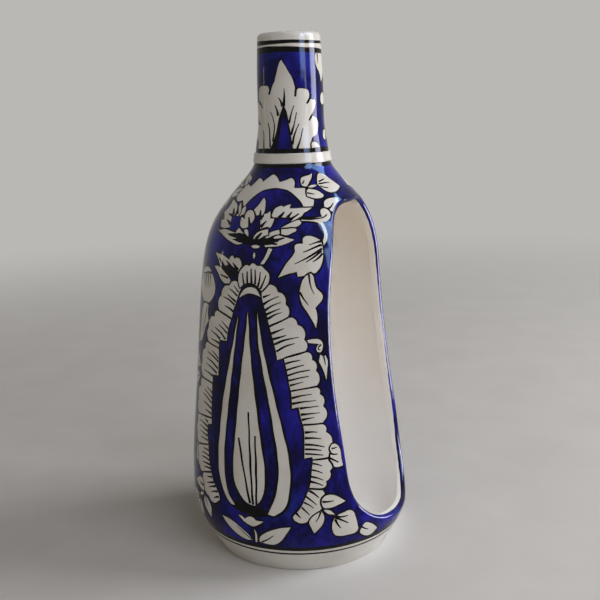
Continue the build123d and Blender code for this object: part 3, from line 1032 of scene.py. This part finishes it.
def paint_fruit_spray(brush):
    """The leaves and the pomegranate with its drooping petal, on the side away from the opening."""
    brush.blot([
        (-28.6, 154, TIP), (-22, 152.2), (-14, 150.6), (-10.4, 149.6, TIP), (-14, 147.4), (-19, 148.6),
        (-25, 151.2),
    ], LINE)
    brush.shapes(
        [
            (-32.5, 157.3, TIP), (-25, 156.7), (-18, 155, TIP), (-17.3, 156.3), (-15.4, 157.1),
            (-14.1, 155.8, TIP), (-11, 156.3), (-8.8, 154.8), (-8.2, 152), (-9.8, 150.2, TIP),
            (-13, 151.5), (-16, 152.6), (-19, 152.6), (-22, 151, TIP), (-25, 151.6), (-28, 154.4),
        ],
        [
            (-31.5, 150.9, TIP), (-28, 151.2), (-25, 150.6), (-20, 148.5), (-16.8, 146.8), (-15.8, 145.1),
            (-17.2, 143.6), (-20, 143.8), (-24, 145.5), (-26.8, 147.8),
        ],
        [
            (-34, 147.2, TIP), (-31, 144.5), (-29, 141), (-29.4, 138), (-31.6, 135.2), (-35, 133),
            (-40, 132.2), (-45, 132.8), (-49, 135.4), (-51, 140), (-49.4, 145.4, TIP), (-48, 147.8),
            (-44, 148.9), (-39.6, 149.3), (-36.2, 148.3),
        ],
        [
            (-39, 131.9, TIP), (-35.8, 131.2, TIP), (-36.8, 128), (-35.2, 123.8, TIP), (-39, 120.2),
            (-41.2, 116.9), (-44.4, 112.8), (-49.4, 111, TIP), (-47.7, 120), (-45.6, 128), (-42.6, 131.4),
        ],
        [(-51.4, 110, TIP), (-56, 113.6), (-61.6, 119.6), (-63.4, 127.6, TIP), (-58, 124), (-53.4, 118)],
        [(-44.6, 99.6, TIP), (-49, 103.6), (-55, 105.4), (-61, 103.4, TIP), (-56, 99.6), (-50, 98.2)],
        [(-45.6, 94.2, TIP), (-50, 95.6), (-56.6, 93), (-60, 87.6, TIP), (-54, 88), (-49, 90.6)],
    )
    brush.lines(
        [(-21.4, 150.6), (-24, 152.8), (-27.4, 155.2)], [(-14.2, 150.6), (-17, 152.6), (-20.4, 154.4)],
        [(-10.6, 150.4), (-12.6, 152.2), (-15, 154)],
        thick=2.8, end=0.2,
    )
    brush.lines(
        [(-17.4, 146.5), (-21, 147), (-24.8, 147.4)],
        [(-33.6, 147.2), (-38, 147), (-44, 146), (-50, 145.2)],
        [(-46, 145.8), (-46.4, 142.6), (-46.6, 139.6)], [(-43, 146), (-43.2, 142.4), (-43.2, 139)],
        [(-41, 146.4), (-41, 142.8), (-40.8, 139.8)], [(-38.5, 146.8), (-38.4, 143), (-38.2, 139.2)],
        [(-35.6, 146.8), (-35.4, 143.4), (-35.2, 140.6)], [(-38, 130.6), (-40.4, 124), (-44, 117)],
        [(-52.4, 112), (-57, 117.4), (-61.6, 124)], [(-46, 100), (-51, 101.4), (-57, 102.6)],
        [(-47, 94), (-51, 92.4), (-56, 90)],
        thick=1.2, end=0.4,
    )


def paint_back_stem(brush):
    """The flowering stem in the middle of the side away from the opening."""
    turn = brush.turn
    brush.blot([
        (-0.8, 22, TIP), (0.4, 60), (-0.6, 104), (-0.7, 150, TIP), (0.7, 150, TIP), (0.8, 104), (2, 60),
        (0.8, 22, TIP),
    ], WHITE)
    for side in (1, -1):
        brush.move_to(turn, side)
        brush.shapes(
            [(1.6, 40, TIP), (6, 45.6), (12, 46.4), (19, 42, TIP), (13, 38.6), (6, 38)],
            [(2, 66, TIP), (6, 74), (12.4, 77.6), (20, 76.4, TIP), (15.6, 69.6), (8, 65.4)],
            [(1.6, 92, TIP), (7, 96.6), (14, 97), (19.6, 92.4, TIP), (13.6, 88.8), (6, 88.4)],
            [(1.6, 118.4, TIP), (5.4, 112), (12, 110.4), (18, 113.6, TIP), (12.4, 117.6), (6, 119.6)],
            [(1.8, 122, TIP), (7, 120), (13, 123.6), (15.4, 130.6, TIP), (9.4, 130), (4, 127)],
            [(2, 150.6, TIP), (8, 152.6), (15, 158), (17, 164.4, TIP), (9.6, 162.4), (4, 157)],
        )
        brush.lines(
            [(2.4, 40.6), (8, 42.4), (14, 42.4)], [(3, 67.4), (9, 71.6), (15.6, 74.4)],
            [(2.6, 92), (8, 93), (14.6, 93)], [(3, 117.6), (8, 115.2), (13.6, 114)],
            [(3, 122.6), (8, 124.4), (12.4, 128)], [(3.4, 152.4), (8, 156), (13, 161)],
            thick=1.3, end=0.3,
        )
    brush.move_to(turn)
    brush.shape([
        (0, 142, TIP), (6, 137.6), (7.4, 130.6), (4.6, 124), (0, 120.6, TIP), (-4.6, 124), (-7.4, 130.6),
        (-6, 137.6),
    ])
    brush.shape([(0, 137, TIP), (2.8, 131), (0, 125, TIP), (-2.8, 131)], paint=COBALT)
    brush.shape([
        (0, 176, TIP), (5.4, 168), (6, 160), (3, 152.6), (0, 150, TIP), (-3, 152.6), (-6, 160),
        (-5.4, 168),
    ])
    brush.lines(
        [(0, 153), (0, 160), (0, 168)], [(-1.4, 154), (-3.2, 160), (-3, 166)],
        [(1.4, 154), (3.2, 160), (3, 166)],
        thick=1.2, end=0.4,
    )


def paint_decoration(brush):
    """All the strokes: the front half, its mirror image at the back, and what lies between."""
    for turn in (0, 180):
        brush.move_to(turn)
        paint_neck_leaf(brush)
        paint_neck_column(brush)
    for turn, flip in ((0, 1), (180, -1)):
        brush.move_to(turn, -flip)
        paint_shoulder_leaves(brush)
        brush.move_to(turn, -flip, lift=FAR_SPRIG_LIFT)
        paint_sprig(brush)
        brush.move_to(turn, -flip, lift=FAR_FAN_LIFT)
        paint_fan(brush)
        brush.move_to(turn, flip)
        for motif in (
            paint_crescent, paint_lotus, paint_shoulder_leaves, paint_opening_spray, paint_fruit_spray,
            paint_ruffle, paint_teardrop, paint_flower, paint_fan, paint_sprig,
        ):
            motif(brush)
    brush.move_to(-90)
    paint_back_stem(brush)
    paint_bands(brush)


class PaintedPlane:
    """The unrolled wall, cut into small triangles along every stroke, each with its paint."""

    def __init__(self, wall, brush, nodes):
        self.wall = wall
        rim = np.vstack([node.opening_edges().reshape(-1, 3) for node in nodes])
        opening = wall.flat(rim)
        levels = sorted({float(wall.up_at(z)) for node in nodes for z in (node.low, node.high)})
        self.spots, triangles, origins = self.cut(opening, brush, levels)
        self.points = wall.place(self.spots)
        for i, ids in enumerate(origins):
            on_rim = [k for k in ids if k < len(rim)]
            if on_rim:
                self.points[i] = rim[on_rim[0]]
        centres = self.spots[triangles].mean(axis=1)
        keep = (centres[:, 0] > CUT_START) & (centres[:, 0] < CUT_END)
        keep &= ~in_opening(centres, opening.reshape(-1, 2, 2))
        self.triangles = triangles[keep]
        self.centres = centres[keep]
        self.paint = np.full(len(self.triangles), COBALT)
        for paint, loop in brush.strokes:
            inside_box = (self.centres > loop.min(axis=0)) & (self.centres < loop.max(axis=0))
            near = np.flatnonzero(inside_box.all(axis=1))
            self.paint[near[within(self.centres[near], loop)]] = paint

    def cut(self, opening, brush, levels):
        """The plane cut along the opening, the strokes and the seams: spots, triangles and origins."""
        loops = [loop for _, loop in brush.strokes]
        grid, rails = self.grid(levels, brush.widths.grid)
        parts = [opening, *loops, grid]
        starts = np.cumsum([0] + [len(part) for part in parts])
        edges = [np.arange(len(opening)).reshape(-1, 2)]
        for loop, start in zip(loops, starts[1:]):
            ids = np.arange(len(loop)) + start
            edges.append(np.stack([ids, np.roll(ids, -1)], axis=1))
        edges.append(rails + starts[-2])
        flat = [Vector(spot) for spot in np.vstack(parts) * PLANE_SCALE]
        found, _, faces, origins, _, _ = delaunay_2d_cdt(
            flat, np.vstack(edges).tolist(), [], 0, CUT_REACH, True
        )
        return np.array([tuple(spot) for spot in found]) / PLANE_SCALE, np.array(faces), origins

    def grid(self, levels, step):
        """Evenly spread points, with edges along the seams and the cut."""
        columns = np.linspace(CUT_START, CUT_END, round(360 * PLANE_SCALE[0] / step) + 1)
        rows = []
        for low, high in zip(levels, levels[1:]):
            rows += list(np.linspace(low, high, max(2, round((high - low) / step) + 1))[:-1])
        rows.append(levels[-1])
        spots = np.array([(degrees, up) for up in rows for degrees in columns])
        wide = len(columns)
        rails = [
            (row * wide + i, row * wide + i + 1)
            for row in range(len(rows)) if rows[row] in levels for i in range(wide - 1)
        ]
        rails += [
            (row * wide + i, (row + 1) * wide + i) for row in range(len(rows) - 1) for i in (0, wide - 1)
        ]
        return spots, np.array(rails)

    def part(self, node):
        """The triangles of one node's outer wall and their paints."""
        low, high = self.wall.up_at(node.low), self.wall.up_at(node.high)
        mine = (self.centres[:, 1] > low) & (self.centres[:, 1] < high)
        return self.triangles[mine], self.paint[mine]


def painted_piece(name, node, plane, materials):
    """A node with its outer wall cut along the brush strokes and painted."""
    skin, paint = plane.part(node)
    rest = ~np.isin(node.patch, [node.outer, *node.seam_patches()])
    used, skin = np.unique(skin, return_inverse=True)
    skin = skin.reshape(-1, 3)
    skin_normals = plane.wall.normals(plane.spots[used])[skin]
    points = np.vstack([node.points, plane.points[used]])
    faces = np.vstack([node.triangles[rest], skin + len(node.points)])
    normals = np.vstack([node.normals[rest].reshape(-1, 3), skin_normals.reshape(-1, 3)])
    rest_paint = np.where(np.isin(node.patch[rest], node.rim_patches()), RIM, INSIDE)
    slots = np.concatenate([rest_paint, paint])

    mesh = bpy.data.meshes.new(name)
    mesh.from_pydata((points * MM).tolist(), [], faces.tolist())
    mesh.polygons.foreach_set("material_index", slots.astype(np.int32))
    glaze_normal = mesh.attributes.new("glaze_normal", "FLOAT_VECTOR", "CORNER")
    glaze_normal.data.foreach_set("vector", normals.ravel())
    wall_depth = mesh.attributes.new("wall_depth", "FLOAT", "POINT")
    wall_depth.data.foreach_set("value", plane.wall.depth(points))
    for material in materials:
        mesh.materials.append(material)
    piece = bpy.data.objects.new(name, mesh)
    bpy.context.scene.collection.objects.link(piece)
    weld(piece, (node.low, node.high))
    mesh.shade_smooth()
    mesh.normals_split_custom_set(read(mesh.attributes["glaze_normal"].data, "vector", 3))
    mesh.attributes.remove(mesh.attributes["glaze_normal"])
    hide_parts(node.name)
    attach(piece, BODY)


def weld(piece, levels):
    """Joins the painted wall to the rest of the piece and fills the flat seams between parts."""
    bpy.ops.object.select_all(action="DESELECT")
    piece.select_set(True)
    bpy.context.view_layer.objects.active = piece
    bpy.ops.object.mode_set(mode="EDIT")
    bpy.ops.mesh.select_mode(type="EDGE")
    bpy.ops.mesh.select_all(action="SELECT")
    bpy.ops.mesh.remove_doubles(threshold=WELD_REACH * MM)
    for level in levels:
        bpy.ops.mesh.select_all(action="DESELECT")
        work = bmesh.from_edit_mesh(piece.data)
        for edge in work.edges:
            at_level = all(abs(v.co.z / MM - level) < WELD_REACH for v in edge.verts)
            edge.select_set(edge.is_boundary and at_level)
        bmesh.update_edit_mesh(piece.data)
        bpy.ops.mesh.fill(use_beauty=True)
    bpy.ops.mesh.select_all(action="SELECT")
    bpy.ops.mesh.normals_make_consistent(inside=False)
    bpy.ops.object.mode_set(mode="OBJECT")


def add(tree, kind, links=None, stops=(), **settings):
    """Adds a shader node with its settings, links or values for its inputs, and a ramp's stops."""
    node = tree.nodes.new(kind)
    for i, (position, stop) in enumerate(stops):
        elements = node.color_ramp.elements
        while len(elements) < len(stops):
            elements.new(0.5)
        elements[i].position = position
        elements[i].color = stop
    for key, value in settings.items():
        setattr(node, key, value)
    for socket, value in (links or {}).items():
        if isinstance(value, bpy.types.NodeSocket):
            tree.links.new(value, node.inputs[socket])
        else:
            node.inputs[socket].default_value = value
    return node


def per_metre(millimetres):
    """The texture scale whose features are about that size."""
    return 1 / (millimetres * MM)


def white_inside(tree, here, glaze):
    """Opaque white glaze: faintly cloudy, with painted shade by height, creamier and darker high up and
    whitest low down where more light falls in.
    """
    painted_light_at_foot = 0.55
    painted_light_slope = -5.0
    cloudiness = 0.6
    clouds = add(
        tree, "ShaderNodeTexNoise", {"Vector": here, "Scale": per_metre(INSIDE_CLOUD), "Detail": 2.0}
    )
    # Painted light and shade by height: the upper inside is shaded creamier and the lower inside lit
    # whiter.
    place = add(tree, "ShaderNodeSeparateXYZ", {0: here})
    painted_shade_up = add(
        tree, "ShaderNodeMath",
        {0: place.outputs["Z"], 1: painted_light_slope, 2: painted_light_at_foot},
        operation="MULTIPLY_ADD",
    )
    thick = add(
        tree, "ShaderNodeMath",
        {0: clouds.outputs["Fac"], 1: cloudiness, 2: painted_shade_up.outputs[0]},
        operation="MULTIPLY_ADD",
    )
    tones = [(0.0, glaze.inside_cloud_and_painted_shade[:]), (0.7, glaze.inside[:])]
    return add(tree, "ShaderNodeValToRGB", {"Fac": thick.outputs[0]}, tones).outputs["Color"]


def white_slip(tree, here, glaze):
    """White slip: faintly cloudy where it is thin, with a few iron specks."""
    speck_size = 0.035
    speck_strength = 0.45
    clouds = add(
        tree, "ShaderNodeTexNoise", {"Vector": here, "Scale": per_metre(SLIP_CLOUD), "Detail": 3.0}
    )
    tones = [(0.36, glaze.white_shade[:]), (0.6, glaze.white[:])]
    white = add(tree, "ShaderNodeValToRGB", {"Fac": clouds.outputs["Fac"]}, tones)
    specks = add(
        tree, "ShaderNodeTexVoronoi",
        {"Vector": here, "Scale": per_metre(SPECK_SPACING), "Randomness": 1.0},
    )
    dot = add(
        tree, "ShaderNodeMath", {0: specks.outputs["Distance"], 1: speck_size}, operation="LESS_THAN"
    )
    faint = add(tree, "ShaderNodeMath", {0: dot.outputs[0], 1: speck_strength}, operation="MULTIPLY")
    both = {"Factor": faint.outputs[0], 6: white.outputs["Color"], 7: glaze.speck[:]}
    return add(tree, "ShaderNodeMix", both, data_type="RGBA").outputs[2]


def cobalt_wash(tree, here, glaze):
    """Cobalt wash: nearly black in pools, thin and bright where the brush ran dry, with painted shade low
    down and painted light high up.
    """
    pool_place = (0.05, 0.02, 0.03)
    pool_stretch = (1, 1, 0.6)
    stroke_share = 0.35
    painted_light_at_foot = -0.03
    painted_light_slope = 0.25
    tall = add(
        tree, "ShaderNodeMapping", {"Vector": here, "Location": pool_place, "Scale": pool_stretch}
    ).outputs[0]
    pools = add(
        tree, "ShaderNodeTexNoise",
        {"Vector": tall, "Scale": per_metre(COBALT_POOL), "Detail": 3.0, "Distortion": 0.6},
    )
    strokes = add(
        tree, "ShaderNodeTexNoise",
        {"Vector": tall, "Scale": per_metre(COBALT_STROKE), "Detail": 2.0, "Distortion": 1.2},
    )
    both = {"Factor": stroke_share, 2: pools.outputs["Fac"], 3: strokes.outputs["Fac"]}
    mixed = add(tree, "ShaderNodeMix", both, data_type="FLOAT")
    # Painted light and shade by height: the cobalt is darkened low on the body and lightened towards the
    # shoulder and neck.
    place = add(tree, "ShaderNodeSeparateXYZ", {0: here})
    painted_light_up = add(
        tree, "ShaderNodeMath",
        {0: place.outputs["Z"], 1: painted_light_slope, 2: painted_light_at_foot},
        operation="MULTIPLY_ADD",
    )
    thin = add(tree, "ShaderNodeMath", {0: mixed.outputs[0], 1: painted_light_up.outputs[0]}, operation="ADD")
    wet = add(tree, "ShaderNodeTexNoise", {"Vector": tall, "Scale": per_metre(COBALT_WET), "Detail": 1.0})
    tones = [(0.48, glaze.cobalt_thin[:]), (0.66, glaze.cobalt_wet[:])]
    bright = add(tree, "ShaderNodeValToRGB", {"Fac": wet.outputs["Fac"]}, tones)
    tones = [(0.38, glaze.cobalt_deep[:]), (0.52, glaze.cobalt[:])]
    thick = add(tree, "ShaderNodeValToRGB", {"Fac": thin.outputs[0]}, tones)
    dry = add(tree, "ShaderNodeMapRange", {"Value": thin.outputs[0], "From Min": 0.48, "From Max": 0.66})
    both = {"Factor": dry.outputs[0], 6: thick.outputs["Color"], 7: bright.outputs["Color"]}
    return add(tree, "ShaderNodeMix", both, data_type="RGBA").outputs[2]


def line_paint(tree, here, glaze):
    """Outline paint: near black, a little brown or blue where the brush thinned."""
    drag = add(tree, "ShaderNodeTexNoise", {"Vector": here, "Scale": per_metre(LINE_DRAG), "Detail": 2.0})
    tones = [(0.45, glaze.line[:]), (0.75, glaze.line_thin[:])]
    return add(tree, "ShaderNodeValToRGB", {"Fac": drag.outputs["Fac"]}, tones).outputs["Color"]


def rim_paint(tree, here, glaze):
    """Cobalt that runs over the rounded rim and ends raggedly against the white of the cut.

    It ends at a depth in mm, which grows towards the far side and towards the rim's top and bottom.
    """
    near_depth = 1.0
    least_depth = 1.3
    growth_across = 20.0
    growth_to_ends = 17.0
    middle_height = 0.1
    raggedness = 0.6
    depth = add(tree, "ShaderNodeAttribute", attribute_name="wall_depth")
    ragged = add(
        tree, "ShaderNodeTexNoise", {"Vector": here, "Scale": per_metre(RIM_RAGGED), "Detail": 3.0}
    )
    place = add(tree, "ShaderNodeSeparateXYZ", {0: here})
    off = add(tree, "ShaderNodeMath", {0: place.outputs["Z"], 1: middle_height}, operation="SUBTRACT")
    ends = add(tree, "ShaderNodeMath", {0: off.outputs[0]}, operation="ABSOLUTE")
    level = add(
        tree, "ShaderNodeMath",
        {0: place.outputs["Y"], 1: growth_across, 2: near_depth},
        operation="MULTIPLY_ADD",
    )
    level = add(
        tree, "ShaderNodeMath",
        {0: ends.outputs[0], 1: growth_to_ends, 2: level.outputs[0]},
        operation="MULTIPLY_ADD",
    )
    level = add(tree, "ShaderNodeMath", {0: level.outputs[0], 1: least_depth}, operation="MAXIMUM")
    edge = add(
        tree, "ShaderNodeMath",
        {0: ragged.outputs["Fac"], 1: raggedness, 2: level.outputs[0]},
        operation="MULTIPLY_ADD",
    )
    bare = add(
        tree, "ShaderNodeMath", {0: depth.outputs["Fac"], 1: edge.outputs[0]}, operation="GREATER_THAN"
    )
    both = {
        "Factor": bare.outputs[0], 6: cobalt_wash(tree, here, glaze), 7: white_inside(tree, here, glaze),
    }
    return add(tree, "ShaderNodeMix", both, data_type="RGBA").outputs[2]


def lip_paint(tree, here, glaze):
    """White slip with one dark ring round the root of the lip, which is thinner towards the opening."""
    thinning = -0.015
    ring_height = CAD_BOX[1][2] - LIP_RING_DROP * MM
    place = add(tree, "ShaderNodeSeparateXYZ", {0: here})
    width = add(
        tree, "ShaderNodeMath",
        {0: place.outputs["X"], 1: thinning, 2: LIP_RING_HALF_WIDTH * MM},
        operation="MULTIPLY_ADD",
    )
    sway = add(tree, "ShaderNodeTexNoise", {"Vector": here, "Scale": per_metre(LIP_SWAY), "Detail": 1.0})
    middle = add(
        tree, "ShaderNodeMath",
        {0: sway.outputs["Fac"], 1: -LIP_RING_STRAY * MM, 2: ring_height},
        operation="MULTIPLY_ADD",
    )
    away = add(
        tree, "ShaderNodeMath", {0: place.outputs["Z"], 1: middle.outputs[0]}, operation="SUBTRACT"
    )
    away = add(tree, "ShaderNodeMath", {0: away.outputs[0]}, operation="ABSOLUTE")
    ring = add(tree, "ShaderNodeMath", {0: away.outputs[0], 1: width.outputs[0]}, operation="LESS_THAN")
    across = add(tree, "ShaderNodeVectorMath", {0: here, 1: (1, 1, 0)}, operation="MULTIPLY")
    radius = add(tree, "ShaderNodeVectorMath", {0: across.outputs[0]}, operation="LENGTH")
    outer = add(
        tree, "ShaderNodeMath",
        {0: radius.outputs["Value"], 1: LIP_RING_BORE * MM},
        operation="GREATER_THAN",
    )
    painted = add(tree, "ShaderNodeMath", {0: ring.outputs[0], 1: outer.outputs[0]}, operation="MULTIPLY")
    both = {
        "Factor": painted.outputs[0], 6: white_slip(tree, here, glaze), 7: line_paint(tree, here, glaze),
    }
    return add(tree, "ShaderNodeMix", both, data_type="RGBA").outputs[2]


def glazed(name, paint, glaze, inside=False):
    """A glazed finish: the paint, and a coat that ripples slightly over it, duller inside the vase."""
    material = bpy.data.materials.new(name)
    material.use_nodes = True
    tree = material.node_tree
    tree.nodes.clear()
    here = add(tree, "ShaderNodeTexCoord").outputs["Object"]
    ripple = add(tree, "ShaderNodeTexNoise", {"Vector": here, "Scale": per_metre(RIPPLE), "Detail": 1.0})
    bump = add(
        tree, "ShaderNodeBump",
        {"Height": ripple.outputs["Fac"], "Strength": glaze.ripple, "Distance": RIPPLE_HEIGHT * MM},
    )
    shader = add(tree, "ShaderNodeBsdfPrincipled", {
        "Base Color": paint(tree, here, glaze),
        "Roughness": glaze.inside_roughness if inside else glaze.roughness,
        "Specular IOR Level": glaze.inside_gloss if inside else glaze.gloss,
        "Normal": bump.outputs["Normal"],
    })
    add(tree, "ShaderNodeOutputMaterial", {"Surface": shader.outputs["BSDF"]})
    return material


def one_finish(node, material):
    """Gives a CAD node one finish."""
    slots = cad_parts[node].data.materials
    slots.clear()
    slots.append(material)


class VASE_OT_white_parts(bpy.types.Operator):
    """Glazes the foot ring and the collar white, and the lip white with its dark ring"""

    bl_idname = "vase.white_parts"
    bl_label = "White parts"

    def execute(self, context):
        glaze = context.scene.vase_glaze
        plain = glazed("white slip under clear glaze", white_slip, glaze)
        for node in WHITE_NODES:
            one_finish(node, plain)
        one_finish(LIP_NODE, glazed("white slip with dark ring under clear glaze", lip_paint, glaze))
        return {"FINISHED"}


class VASE_OT_painted_parts(bpy.types.Operator):
    """Paints the bowl, the wall, the shoulder and the neck"""

    bl_idname = "vase.painted_parts"
    bl_label = "Painted parts"

    def execute(self, context):
        glaze = context.scene.vase_glaze
        materials = [
            glazed("white slip on painted parts", white_slip, glaze),
            glazed("cobalt wash under clear glaze", cobalt_wash, glaze),
            glazed("dark line under clear glaze", line_paint, glaze),
            glazed("cobalt over the cut rim", rim_paint, glaze),
            glazed("opaque white glaze inside", white_inside, glaze, inside=True),
        ]
        wall = Wall([NodeMesh(name) for name in WALL_NODES])
        nodes = [NodeMesh(name) for name in PAINTED_NODES]
        brush = Brush(wall, context.scene.vase_brush)
        paint_decoration(brush)
        plane = PaintedPlane(wall, brush, nodes)
        for node in nodes:
            painted_piece(f"painted_{node.name}", node, plane, materials)
        return {"FINISHED"}


class VASE_OT_stage(bpy.types.Operator):
    """Sets the floor, the light and the camera"""

    bl_idname = "vase.stage"
    bl_label = "Stage"

    def execute(self, context):
        stage = context.scene.vase_stage
        floor(stage)
        light()
        surround(stage)
        camera(stage)
        context.scene.view_settings.view_transform = "Standard"
        return {"FINISHED"}


def seen(tree):
    """1 where the backdrop is looked at, straight or in a reflection, and 0 where it gives light."""
    path = add(tree, "ShaderNodeLightPath")
    mirrored = add(
        tree, "ShaderNodeMath",
        {0: path.outputs["Is Glossy Ray"], 1: path.outputs["Is Transmission Ray"]},
        operation="MAXIMUM",
    )
    either = {0: path.outputs["Is Camera Ray"], 1: mirrored.outputs[0]}
    return add(tree, "ShaderNodeMath", either, operation="MAXIMUM").outputs[0]


def floor(stage):
    """A pale matt floor that fades into the backdrop."""
    bpy.ops.object.select_all(action="DESELECT")
    bpy.ops.mesh.primitive_plane_add(size=FLOOR_SIZE)
    ground = bpy.context.object
    ground.name = "floor"
    material = bpy.data.materials.new("pale matt board")
    material.use_nodes = True
    tree = material.node_tree
    tree.nodes.clear()
    here = add(tree, "ShaderNodeTexCoord").outputs["Object"]
    grain = add(
        tree, "ShaderNodeTexNoise", {"Vector": here, "Scale": per_metre(BOARD_GRAIN), "Detail": 2.0}
    )
    tones = [(0.3, stage.board_shade[:]), (0.7, stage.board[:])]
    tone = add(tree, "ShaderNodeValToRGB", {"Fac": grain.outputs["Fac"]}, tones)
    board = add(
        tree, "ShaderNodeBsdfPrincipled",
        {"Base Color": tone.outputs["Color"], "Roughness": 0.6, "Specular IOR Level": 0.0},
    )
    far = add(tree, "ShaderNodeVectorMath", {0: here}, operation="LENGTH")
    fade = add(
        tree, "ShaderNodeMapRange",
        {"Value": far.outputs["Value"], "From Min": FADE_START, "From Max": FADE_END},
        interpolation_type="SMOOTHSTEP",
    )
    faded = add(tree, "ShaderNodeMath", {0: fade.outputs[0], 1: seen(tree)}, operation="MULTIPLY")
    backdrop = add(tree, "ShaderNodeEmission", {"Color": stage.backdrop[:], "Strength": 1.0})
    both = {0: faded.outputs[0], 1: board.outputs[0], 2: backdrop.outputs[0]}
    mixed = add(tree, "ShaderNodeMixShader", both)
    add(tree, "ShaderNodeOutputMaterial", {"Surface": mixed.outputs[0]})
    ground.data.materials.append(material)


def lamp(name, azimuth, height, distance, size, power, tint, mirrored):
    """A soft box turned to the vase's axis. It gives light or, where mirrored, only shows in the glaze."""
    data = bpy.data.lights.new(name, "AREA")
    data.shape = "RECTANGLE"
    data.size, data.size_y = size
    data.energy = power
    data.color = linear(tint)[:3]
    box = bpy.data.objects.new(name, data)
    angle = math.radians(azimuth)
    box.location = (distance * math.sin(angle), -distance * math.cos(angle), height)
    aim = Vector((0, 0, LAMP_AIM_HEIGHT)) - box.location
    box.rotation_euler = aim.to_track_quat("-Z", "Y").to_euler()
    box.visible_glossy = mirrored
    box.visible_diffuse = not mirrored
    box.visible_camera = False
    bpy.context.scene.collection.objects.link(box)


def light():
    """Soft light from the right with a weak warm fill, and the boxes that only the glaze mirrors.

    A row holds the name, the azimuth in degrees, the height, distance and size in metres, the power in
    watts and the tint.
    """
    for row in (
        ("key", 116, 0.6, 1.15, (0.6, 0.9), 13, "FBFBFF"),
        ("soft_right", 62, 1.0, 1.35, (1.2, 1.2), 10.5, "F4F6FF"),
        ("fill", -40, 0.7, 1.6, (1.2, 1.2), 1.3, "FFF1E0"),
    ):
        lamp(*row, mirrored=False)
    for row in (
        ("mirrored_tall", 114, 0.42, 1.2, (0.5, 0.9), 34, "E4E6FF"),
        ("mirrored_low", 112, 0.08, 0.45, (0.4, 0.15), 6, "E4E6FF"),
        ("mirrored_strip", 80, 0.45, 1.3, (0.1, 0.9), 3, "FFFFFF"),
        ("mirrored_high", 113, 0.98, 1.0, (0.95, 0.4), 28, "8FBCFF"),
        ("mirrored_middle", 79, 0.82, 1.05, (0.36, 0.74), 24, "9AC2FF"),
        ("mirrored_side", 70, 0.48, 1.2, (0.3, 0.3), 5, "A8CAFF"),
        ("mirrored_left", -77, 0.235, 1.0, (0.03, 0.15), 0.12, "FFFFFF"),
    ):
        lamp(*row, mirrored=True)


def surround(stage):
    """Soft light from all round, and the pale backdrop for the camera."""
    world = bpy.data.worlds.new("surround")
    world.use_nodes = True
    tree = world.node_tree
    tree.nodes.clear()
    ambient = add(
        tree, "ShaderNodeBackground", {"Color": stage.ambient[:], "Strength": stage.ambient_strength}
    )
    backdrop = add(tree, "ShaderNodeBackground", {"Color": stage.backdrop[:], "Strength": 1.0})
    mixed = add(
        tree, "ShaderNodeMixShader", {0: seen(tree), 1: ambient.outputs[0], 2: backdrop.outputs[0]}
    )
    add(tree, "ShaderNodeOutputWorld", {"Surface": mixed.outputs[0]})
    bpy.context.scene.world = world


def camera(stage):
    """The photograph's viewpoint: to the right of the painted front, a little above."""
    data = bpy.data.cameras.new("camera")
    data.lens = stage.lens
    data.shift_x = stage.shift
    data.clip_start = NEAR_CLIP
    view = bpy.data.objects.new("camera", data)
    turn, pitch, roll = (math.radians(angle) for angle in (stage.azimuth, stage.pitch, stage.roll))
    back = Vector((math.sin(turn) * math.cos(pitch), -math.cos(turn) * math.cos(pitch), math.sin(pitch)))
    right = Vector((math.cos(turn), math.sin(turn), 0))
    up = back.cross(right)
    tilted_right = right * math.cos(roll) - up * math.sin(roll)
    tilted_up = right * math.sin(roll) + up * math.cos(roll)
    place = Vector((stage.distance * math.sin(turn), -stage.distance * math.cos(turn), stage.height))
    turned = Matrix((tilted_right, tilted_up, back)).transposed().to_4x4()
    view.matrix_world = Matrix.Translation(place) @ turned
    bpy.context.scene.collection.objects.link(view)
    bpy.context.scene.camera = view


class VASE_PT_panel(bpy.types.Panel):
    """The vase's sizes, colours and steps."""

    bl_idname = "VASE_PT_panel"
    bl_label = "Painted vase"
    bl_space_type = "VIEW_3D"
    bl_region_type = "UI"
    bl_category = "Vase"

    def draw(self, context):
        for name, group in GROUPS.items():
            for field in group.__annotations__:
                self.layout.prop(getattr(context.scene, name), field)
        for operator in STEPS:
            self.layout.operator(operator.bl_idname)


GROUPS = {"vase_glaze": VaseGlaze, "vase_brush": VaseBrush, "vase_stage": VaseStage}
STEPS = (VASE_OT_white_parts, VASE_OT_painted_parts, VASE_OT_stage)


def register():
    for cls in (*GROUPS.values(), *STEPS, VASE_PT_panel):
        bpy.utils.register_class(cls)
    for name, group in GROUPS.items():
        setattr(bpy.types.Scene, name, PointerProperty(type=group))


def unregister():
    for name in GROUPS:
        delattr(bpy.types.Scene, name)
    for cls in reversed((*GROUPS.values(), *STEPS, VASE_PT_panel)):
        bpy.utils.unregister_class(cls)


def main():
    register()
    bpy.ops.vase.white_parts()
    bpy.ops.vase.painted_parts()
    bpy.ops.vase.stage()


if __name__ == "__main__":
    main()
